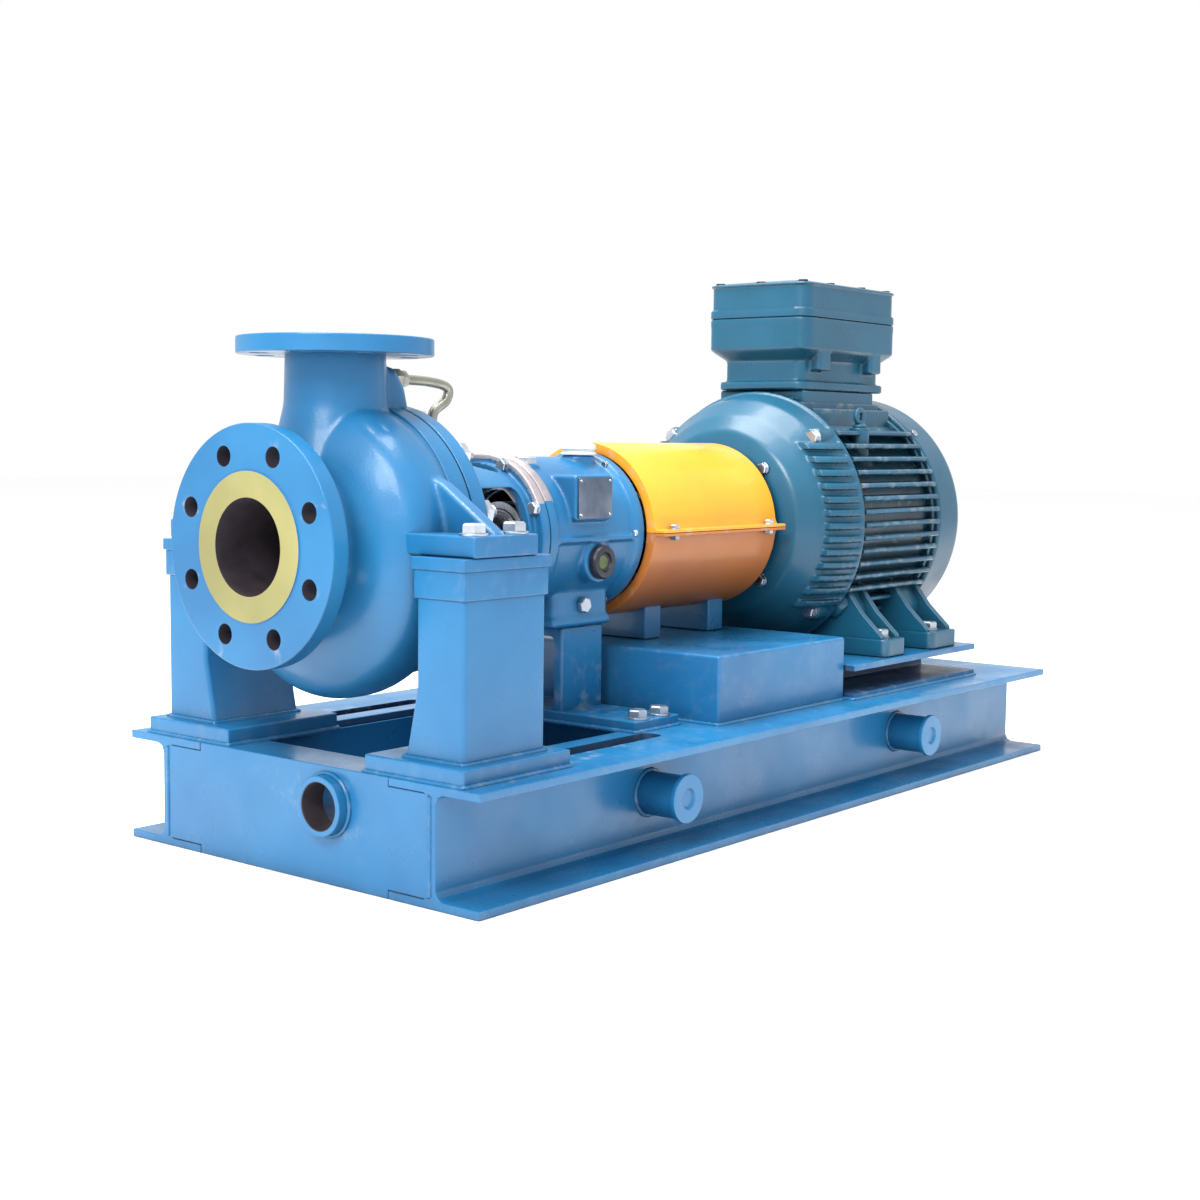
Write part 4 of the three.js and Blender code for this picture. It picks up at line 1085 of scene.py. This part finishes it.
def coupling():
    hub = [(506, 24.4), (506, 44), (544, 44), (544, 62), (556, 62), (556, 24.4)]
    standing_for("pump_coupling_hub", spun(hub, corner=2), TURNED_STEEL, "machined_steel", "pump_rotor")
    hub = [(736, 24.4), (736, 62), (748, 62), (748, 44), (786, 44), (786, 24.4)]
    standing_for("motor_coupling_hub", spun(hub, corner=2), TURNED_STEEL, "machined_steel", "motor_rotor")
    spacer = [(563, 30), (563, 62), (575, 62), (575, 40), (717, 40), (717, 62), (729, 62), (729, 30)]
    standing_for("coupling_spacer", spun(spacer, corner=2), TURNED_STEEL, "machined_steel", "pump_rotor")
    for node, x, body in (("flex_discs_pump", 556.3, "pump_rotor"),
                          ("flex_discs_motor", 729.4, "motor_rotor")):
        leaves = 4
        profile = [(x, 34)]
        for k in range(leaves):
            at = x + 6.3 * k / leaves
            profile += [(at + 0.2, 60), (at + 1.2, 60), (at + 1.4, 58.5)]
        profile += [(x + 6.3, 58.5), (x + 6.3, 34)]
        standing_for(node, spun(profile), TURNED_STEEL, "machined_steel", body)
    for name, start, axis, body in (("pump_hub_bolts", 544, BACKWARD, "pump_rotor"),
                                    ("motor_hub_bolts", 748, ALONG, "motor_rotor")):
        shapes = [s for place in around_shaft(start, 6, 53) for s in bolt(place, axis, 9)]
        piece(name, merged(shapes), BLACK_STEEL, "machined_steel", body)
    shapes = [s for place in around_shaft(575, 6, 53) for s in stud(place, ALONG, 9, 0.3)]
    shapes += [s for place in around_shaft(717, 6, 53) for s in stud(place, BACKWARD, 9, 0.3)]
    piece("spacer_bolts", merged(shapes), BLACK_STEEL, "machined_steel", "pump_rotor")


def guard_half(side):
    """Rolled sheet with a bolting lip along each side, in one bent section."""
    r, wall, lip = GUARD["radius"], GUARD["wall"], GUARD["lip"]
    level = FLOOR_GAP * side
    thick = (4 - FLOOR_GAP) * side
    bend = 6
    arc = [180 * k / 64 for k in range(65)]
    rise = math.degrees(math.asin(bend / r))
    inside_rise = math.degrees(math.asin(abs(level) / (r - wall)))
    outer = [(r * math.cos(math.radians(a)), side * r * math.sin(math.radians(a)))
             for a in arc if rise <= a <= 180 - rise]
    inner = [((r - wall) * math.cos(math.radians(a)), side * (r - wall) * math.sin(math.radians(a)))
             for a in arc if inside_rise <= a <= 180 - inside_rise]
    tip = r + lip
    outline = [(r - wall, level), (tip, level), (tip, level + thick), (r + 2.5, level + thick), *outer,
               (-r - 2.5, level + thick), (-tip, level + thick), (-tip, level), (-r + wall, level),
               *reversed(inner)]
    return [(y, SHAFT + z) for y, z in outline]


def guard_sheet(side):
    """Half of the guard, turned in at the pump end."""
    start, radius, wall = GUARD["start"], GUARD["radius"], GUARD["wall"]
    sheet = prism(guard_half(side), start, GUARD["end"], axis="x", edge=0.6)
    low = radius - GUARD["end_ring"]
    profile = [(start, low), (start, radius - 1), (start + wall, radius - 1), (start + wall, low)]
    ring = spun(profile, sides=FINE_ROUND)
    level = sorted((SHAFT + side * FLOOR_GAP, SHAFT + side * 200))
    half = block((start - 5, start + 20), (-200, 200), level, 0)
    return joined(sheet, combined("INTERSECT", ring, [half]))


def guard():
    start, end = GUARD["start"], GUARD["end"]
    standing_for("guard_upper", guard_sheet(1), GUARD_PAINT, "guard_paint")
    low = span("guard_lower")[2][0]
    legs = []
    for x in LEG_STARTS:
        leg = block((x, x + 34), (-44, 44), (low, SHAFT - GUARD["radius"] + 12), 2)
        room = disc(start - 5, end + 5, GUARD["radius"] - 1.5, corner=0)
        legs.append(cut(leg, room))
    # The lower half takes the darker copy of the guard's orange as painted shade.
    standing_for("guard_lower", joined(guard_sheet(-1), *legs), GUARD_SHADED_PAINT, "guard_paint", tints=[
        (PLATE_PAINT, lambda c, n: abs(n.z) < 0.9 and c.z < SHAFT - 0.9 * GUARD["radius"])])
    shapes = []
    for y in (-1, 1):
        for x in (start + 30, end - 30):
            place = (x, y * (GUARD["radius"] + 9), SHAFT + 4)
            shapes += bolt(place, UP, 7)
            shapes += [hexagon((place[0], place[1], SHAFT - 4), DOWN, 10.5, 0, 5)]
    piece("guard_fasteners", merged(shapes), ZINC, "stainless")


# ---- Motor --------------------------------------------------------------------------------------


def fin(angle_offset, sideways):
    """One cooling fin on each side of the frame, thinner at its tip than at its root."""
    reach = math.sqrt(MOTOR["fins"] ** 2 - angle_offset ** 2)
    root = math.sqrt(MOTOR["core"] ** 2 - angle_offset ** 2) - 8
    half_root, half_tip = 5.0, 3.4
    shapes = []
    for side in (-1, 1):
        section = [(root, -half_root), (reach - 2, -half_tip), (reach, -half_tip / 2),
                   (reach, half_tip / 2), (reach - 2, half_tip), (root, half_root)]
        if sideways:
            outline = [(side * a, SHAFT + angle_offset + b) for a, b in section]
        else:
            outline = [(angle_offset + b, SHAFT + side * a) for a, b in section]
        shapes.append(prism(outline, MOTOR["frame"] + 3, MOTOR["rear"] - 3, axis="x", edge=0))
    return shapes


def motor_foot(side, x0, x1):
    pad = prism(rounded(rectangle((x0, x1), across(side, 130, 218)), 12, 6), 172, 196, edge=2)
    legs = []
    for x in (x0 + 4, x1 - 14):
        corners = [(60, 212), (140, 276), (176, 230), (208, 200), (208, 190), (120, 190)]
        outline = [(side * a, b) for a, b in corners]
        legs.append(prism(outline, x, x + 10, axis="x", edge=2))
    outline = [(side * a, b) for a, b in [(60, 212), (138, 268), (160, 232), (160, 190), (120, 190)]]
    return [pad, *legs, prism(outline, x0 + 6, x1 - 6, axis="x", edge=2)]


def motor_frame():
    frame_x, rear, core = MOTOR["frame"], MOTOR["rear"], MOTOR["core"]
    shell = disc(frame_x + FLOOR_GAP, rear - FLOOR_GAP, core, corner=1, sides=FINE_ROUND)
    rims = [spun([(x, core - 4), (x, core + 8), (x + 8, core + 8), (x + 8, core - 4)], corner=2,
                 sides=FINE_ROUND) for x in (frame_x + FLOOR_GAP, rear - 8 - FLOOR_GAP)]
    fins = [s for k in range(-7, 8) for s in fin(k * FIN_PITCH, True)]
    fins += [s for k in range(-5, 6) for s in fin(k * FIN_PITCH, False)]
    pad = block((885, 1076), (-72, 72), (SHAFT + 130, SHAFT + 186), 3)
    feet = [s for side in (-1, 1) for x in ((876, 934), (1006, 1084)) for s in motor_foot(side, *x)]
    eye_boss = disc(60, EYE[2] - SHAFT - FLOOR_GAP, 14, origin=(EYE[0], EYE[1], SHAFT), axis=UP,
                    sides=SMALL_ROUND)
    drain_boss = spun([(0, 0), (0, 26), (20, 22), (26, 18), (26, 0)], origin=(892, -126, SHAFT - 106),
                      axis=(0, -0.75, -0.66), corner=3, sides=SMALL_ROUND)
    whole = joined(shell, *rims, *fins, pad, *feet, eye_boss, drain_boss)
    foot_holes = [(x, side * 190, 172) for side in (-1, 1) for x in (905, 1045)]
    shape = cut(whole, disc(frame_x - 5, rear + 5, 148, corner=0),
                disc(SHAFT + 120, SHAFT + 200, 30, corner=0, origin=(980, 0, 0), axis=UP),
                *holes(foot_holes, UP, 8, 40))
    standing_for("motor_frame", shape, MOTOR_PAINT, "motor_paint", smooth=35)


def drive_end_shield():
    shield, front = MOTOR["shield"], MOTOR["frame"]
    profile = [(shield, 32), (shield, 60), (shield - 22, 100), (shield - 14, 128), (shield + 6, 150),
               (shield + 36, 172), (front - 6, 180), (front - 6, 184), (front, 184), (front, 160),
               (shield + 50, 150), (shield + 24, 132), (shield + 8, 108), (shield + 12, 68),
               (shield + 38, 66),
               (shield + 38, 56), (shield + 14, 56), (shield + 14, 32)]
    dish = spun(profile, corner=4, sides=FINE_ROUND)
    dome = spun([(shield + 12, 118), (shield + 12, 165), (shield + 32, 179), (front - 3, 184),
                 (front - 3, 118)], sides=FINE_ROUND)
    levels = [SHAFT + k * FIN_PITCH for k in range(-6, 7)]
    plates = merged([block((shield - 30, front), (-200, 200), (z - 4, z + 4), 1.5) for z in levels])
    ribs = combined("INTERSECT", plates, [dome])
    ears = [disc(front - 34, front, 14, corner=2, origin=(0, y, z), sides=SMALL_ROUND)
            for _, y, z in around_shaft(0, 4, 168)]
    clear = disc(shield - 40, shield + 60, 117, corner=0)
    rough = joined(dish, cut(ribs, clear), *ears)
    standing_for("drive_end_shield", cast(rough, 2.0, 3), MOTOR_PAINT, "motor_paint", smooth=50)
    shapes = []
    for place in around_shaft(front - 34, 4, 168):
        shapes += bolt(place, BACKWARD, 12)
    for place in around_shaft(shield - 21, 4, 108):
        shapes += bolt(place, BACKWARD, 9)
    for side in (-1, 1):
        for x in (905, 1045):
            shapes += bolt((x, side * 190, 196), UP, 15)
    piece("motor_fasteners", merged(shapes), ZINC, "stainless")


def rear_end_shield():
    rear = MOTOR["rear"]
    profile = [(rear, 30), (rear, 160), (rear + 14, 160), (rear + 14, 60), (rear + 24, 60), (rear + 24, 26),
               (rear + 20, 26), (rear + 20, 30)]
    standing_for("rear_end_shield", spun(profile, corner=2.5), MOTOR_PAINT, "motor_paint")


def cooling_fan():
    plate = spun([(1118, 22.3), (1122, 22.3), (1122, 140), (1118, 140)], corner=0.8)
    hub = spun([(1118, 22.3), (1142, 22.3), (1142, 34), (1124, 40), (1118, 40)], corner=1.5)
    blades = []
    for k in range(8):
        blade = block((1121, 1143), (-2, 2), (36, 140), 1)
        blade.transform(Matrix.Translation((0, 0, SHAFT)) @ Matrix.Rotation(k / 8 * 2 * math.pi, 4, "X"))
        blades.append(blade)
    standing_for("cooling_fan", joined(plate, hub, *blades), GREY_PLASTIC, "fan_plastic", "motor_rotor")


def fan_cowl():
    rear, end = MOTOR["rear"], MOTOR["end"]
    profile = [(rear + 3, 164), (rear + 3, 180), (end - 26, 180), (end - 8, 168), (end, 146), (end, 60),
               (end - 4, 60), (end - 4, 142), (end - 14, 162), (end - 28, 174), (rear + 18, 174),
               (rear + 18, 164)]
    shell = spun(profile, corner=6, sides=FINE_ROUND)
    wire = 1.6
    x = end - 2.2
    rings = [swept(around_shaft(x, 64, r), wire, sides=8, closed=True, step=2) for r in (18, 32, 46, 61)]
    spokes = []
    for y, z in circle(6, 1):
        ends = [(x, 3 * y, SHAFT + 3 * z), (x, 62 * y, SHAFT + 62 * z)]
        spokes.append(swept(ends, wire, sides=8, step=10))
    cap = disc(x - 1.2, x + 1.4, 9, corner=0.5)
    standing_for("fan_cowl", merged([shell, *rings, *spokes, cap]), MOTOR_SHEET, "motor_paint", smooth=40)
    shapes = []
    for place in around_shaft(0, 4, 179.5):
        outward = Vector((0, place[1], place[2] - SHAFT)).normalized()
        origin = (rear + 14, place[1], place[2])
        shapes += [disc(0, 3.5, 6, corner=1.2, origin=origin, axis=outward, sides=24)]
    piece("cowl_screws", merged(shapes), ZINC, "stainless")


BOX = span("terminal_box")
LID = span("terminal_box_lid")


def inset_outline(by, corner, steps=8):
    """The terminal box's plan, drawn in by a distance, with round corners."""
    x = (BOX[0][0] + by, BOX[0][1] - by)
    y = (BOX[1][0] + by, BOX[1][1] - by)
    return rounded(rectangle(x, y), max(corner - by * 0.3, 2), steps)


def terminal_box():
    low, seat = BOX[2]
    rim, neck = 592, 14
    levels = [(low, neck + 5), (rim - 12, neck + 5), (rim, 4), (rim + 4, 0.5), (seat, 0.5)]
    body = stacked([(z, inset_outline(by, 22)) for z, by in levels])
    collar = prism(inset_outline(12, 22), low, low + 12, edge=2)
    belt = prism(inset_outline(0, 22), seat - 12, seat, edge=1.5)
    bosses = []
    for x in (BOX[0][0] + 58, BOX[0][1] - 58):
        plan = rounded(rectangle((x - 16, x + 16), (BOX[1][0] + 2, BOX[1][0] + 30)), 5)
        bosses.append(prism(plan, rim - 26, rim + 6, edge=2))
    outside = cast(joined(eased(body, 2), collar, belt, *bosses), 2.0, 3)
    room = prism(inset_outline(10, 16), rim + 8, seat + 5, edge=0)
    lower_room = prism(inset_outline(neck + 14, 16), low + 8, rim + 20, edge=0)
    lead = disc(low - 5, low + 20, 30, corner=0, origin=(980, 0, 0), axis=UP)
    flat_top = block((800, 1200), (-120, 120), (seat, seat + 20), 0)
    shape = cut(outside, room, lower_room, lead, flat_top)
    standing_for("terminal_box", shape, MOTOR_PAINT, "motor_paint", smooth=45)


def terminal_box_lid():
    (_, _, (low, top)) = LID
    levels = [(low, 0.0), (low + 10, 0.0), (low + 13, 2.5), (top - 13, 2.5), (top - 11, 0.0),
              (top - 9, 0.5), (top - 7.5, 4.0), (top - 5, 20.0), (top - 2.2, 42.0), (top - 0.6, 64.0),
              (top, 82.0)]
    shape = stacked([(z, inset_outline(by, 22)) for z, by in levels])
    room = prism(inset_outline(11, 16), low - 5, top - 18, edge=0)
    recesses = [disc(top - 13, top + 5, 10, corner=0, origin=(x, y, 0), axis=UP, sides=SMALL_ROUND)
                for x, y in lid_bolt_places()]
    lid = cut(eased(shape, 1.0), room, *recesses)
    standing_for("terminal_box_lid", lid, MOTOR_PAINT, "motor_paint", smooth=40)
    screws = [s for x, y in lid_bolt_places() for s in socket_screw((x, y, top - 13), UP, 9)]
    piece("lid_screws", merged(screws), BLACK_STEEL, "stainless")


def lid_bolt_places():
    (x0, x1), (y0, y1) = BOX[0], BOX[1]
    edge = 15
    xs = [x0 + edge, (2 * x0 + x1) / 3, (x0 + 2 * x1) / 3, x1 - edge]
    sides = [(x, y) for x in xs for y in (y0 + edge, y1 - edge)]
    return sides + [(x, 0) for x in (x0 + edge, x1 - edge)]


def motor_small_parts():
    x, y, z = 925, -66 - FLOOR_GAP, 577
    collar = hexagon((x, y, z), NEARWARD, 22, 0, 8)
    plug = disc(7, 14, 9, corner=1, origin=(x, y, z), axis=NEARWARD, sides=SMALL_ROUND)
    standing_for("cable_entry_plug", joined(collar, plug), BLACK_STEEL, "stainless")
    ring, wire = 9, 4
    centre = (EYE[0], EYE[1], EYE[2] + ring + 7)
    loop = [(centre[0] + ring * math.cos(t), centre[1], centre[2] + ring * math.sin(t))
            for t in (2 * math.pi * k / 40 for k in range(40))]
    eye = swept(loop, wire, sides=20, closed=True, step=2)
    collar = spun([(0, 0), (0, 10), (3, 10), (6, 6), (8, 0)], origin=EYE, axis=UP, corner=1,
                  sides=SMALL_ROUND)
    standing_for("motor_lifting_eye", joined(collar, eye), MOTOR_PAINT, "motor_paint", smooth=50)


def motor_inside():
    turned_ring("stator_core", 905, 1055, 94, 146, COPPER, "winding")
    turned_ring("rotor_core", 905, 1055, 37.6, 91, CAST_STEEL, "cast_steel", "motor_rotor")
    shaft("motor_shaft", MOTOR_SHAFT, "motor_rotor")
    bearing_rings("motor_drive_bearing", 818, 837, 30, 43, 55.4, "motor_rotor")


# ---- Camera, light and floor --------------------------------------------------------------------


def camera():
    data = bpy.data.cameras.new("camera")
    data.sensor_width = 36
    data.lens = 52.28
    data.shift_y = -0.0025
    data.clip_end = 60
    made = bpy.data.objects.new("camera", data)
    yaw, pitch, roll = (math.radians(a) for a in (38.84, -5.22, 0.66))
    ahead = Vector((math.cos(pitch) * math.cos(yaw), math.cos(pitch) * math.sin(yaw), math.sin(pitch)))
    right = Vector((math.sin(yaw), -math.cos(yaw), 0))
    up = right.cross(ahead)
    across_view = math.cos(roll) * right + math.sin(roll) * up
    up_view = -math.sin(roll) * right + math.cos(roll) * up
    turn = Matrix((across_view, up_view, -ahead)).transposed().to_4x4()
    made.matrix_world = Matrix.Translation((-1.8170, -1.3978, 0.4677)) @ turn
    bpy.context.scene.collection.objects.link(made)
    bpy.context.scene.camera = made


def area_light(name, place, size, power, target=(0, 0, 0.3)):
    data = bpy.data.lights.new(name, "AREA")
    data.size = size
    data.energy = power
    made = bpy.data.objects.new(name, data)
    made.location = place
    made.rotation_euler = (Vector(target) - Vector(place)).to_track_quat("-Z", "Y").to_euler()
    bpy.context.scene.collection.objects.link(made)


def studio():
    floor_mesh = bmesh.new()
    bmesh.ops.create_grid(floor_mesh, x_segments=2, y_segments=2, size=14)
    mesh = bpy.data.meshes.new("floor")
    floor_mesh.to_mesh(mesh)
    floor_mesh.free()
    floor = bpy.data.objects.new("floor", mesh)
    floor.location.z = -0.0005
    look = Look("floor_card", Roughness=0.9)
    look.link(look.ramp(look.noise(2.0), (0.3, 0.97), (0.7, 0.98)), "Base Color")
    mesh.materials.append(look.material)
    bpy.context.scene.collection.objects.link(floor)
    world = bpy.data.worlds.new("studio")
    world.use_nodes = True
    sky = world.node_tree.nodes["Background"]
    sky.inputs["Color"].default_value = (1.0, 1.0, 1.0, 1)
    sky.inputs["Strength"].default_value = 1.0
    bpy.context.scene.world = world
    area_light("key", (-3.3, -0.9, 2.8), 1.6, 150)
    area_light("top", (-0.2, 0.3, 3.2), 2.0, 170)
    bpy.context.scene.view_settings.view_transform = "Standard"


# ---- Everything ---------------------------------------------------------------------------------

base()
pump_casing()
casing_cover()
casing_fasteners()
pump_rotor()
seal()
bearing_adapter()
bearing_housing()
housing_fasteners()
breather()
sight_glass()
name_plate()
housing_foot()
coupling()
guard()
motor_frame()
drive_end_shield()
rear_end_shield()
cooling_fan()
fan_cowl()
terminal_box()
terminal_box_lid()
motor_small_parts()
motor_inside()
camera()
studio()
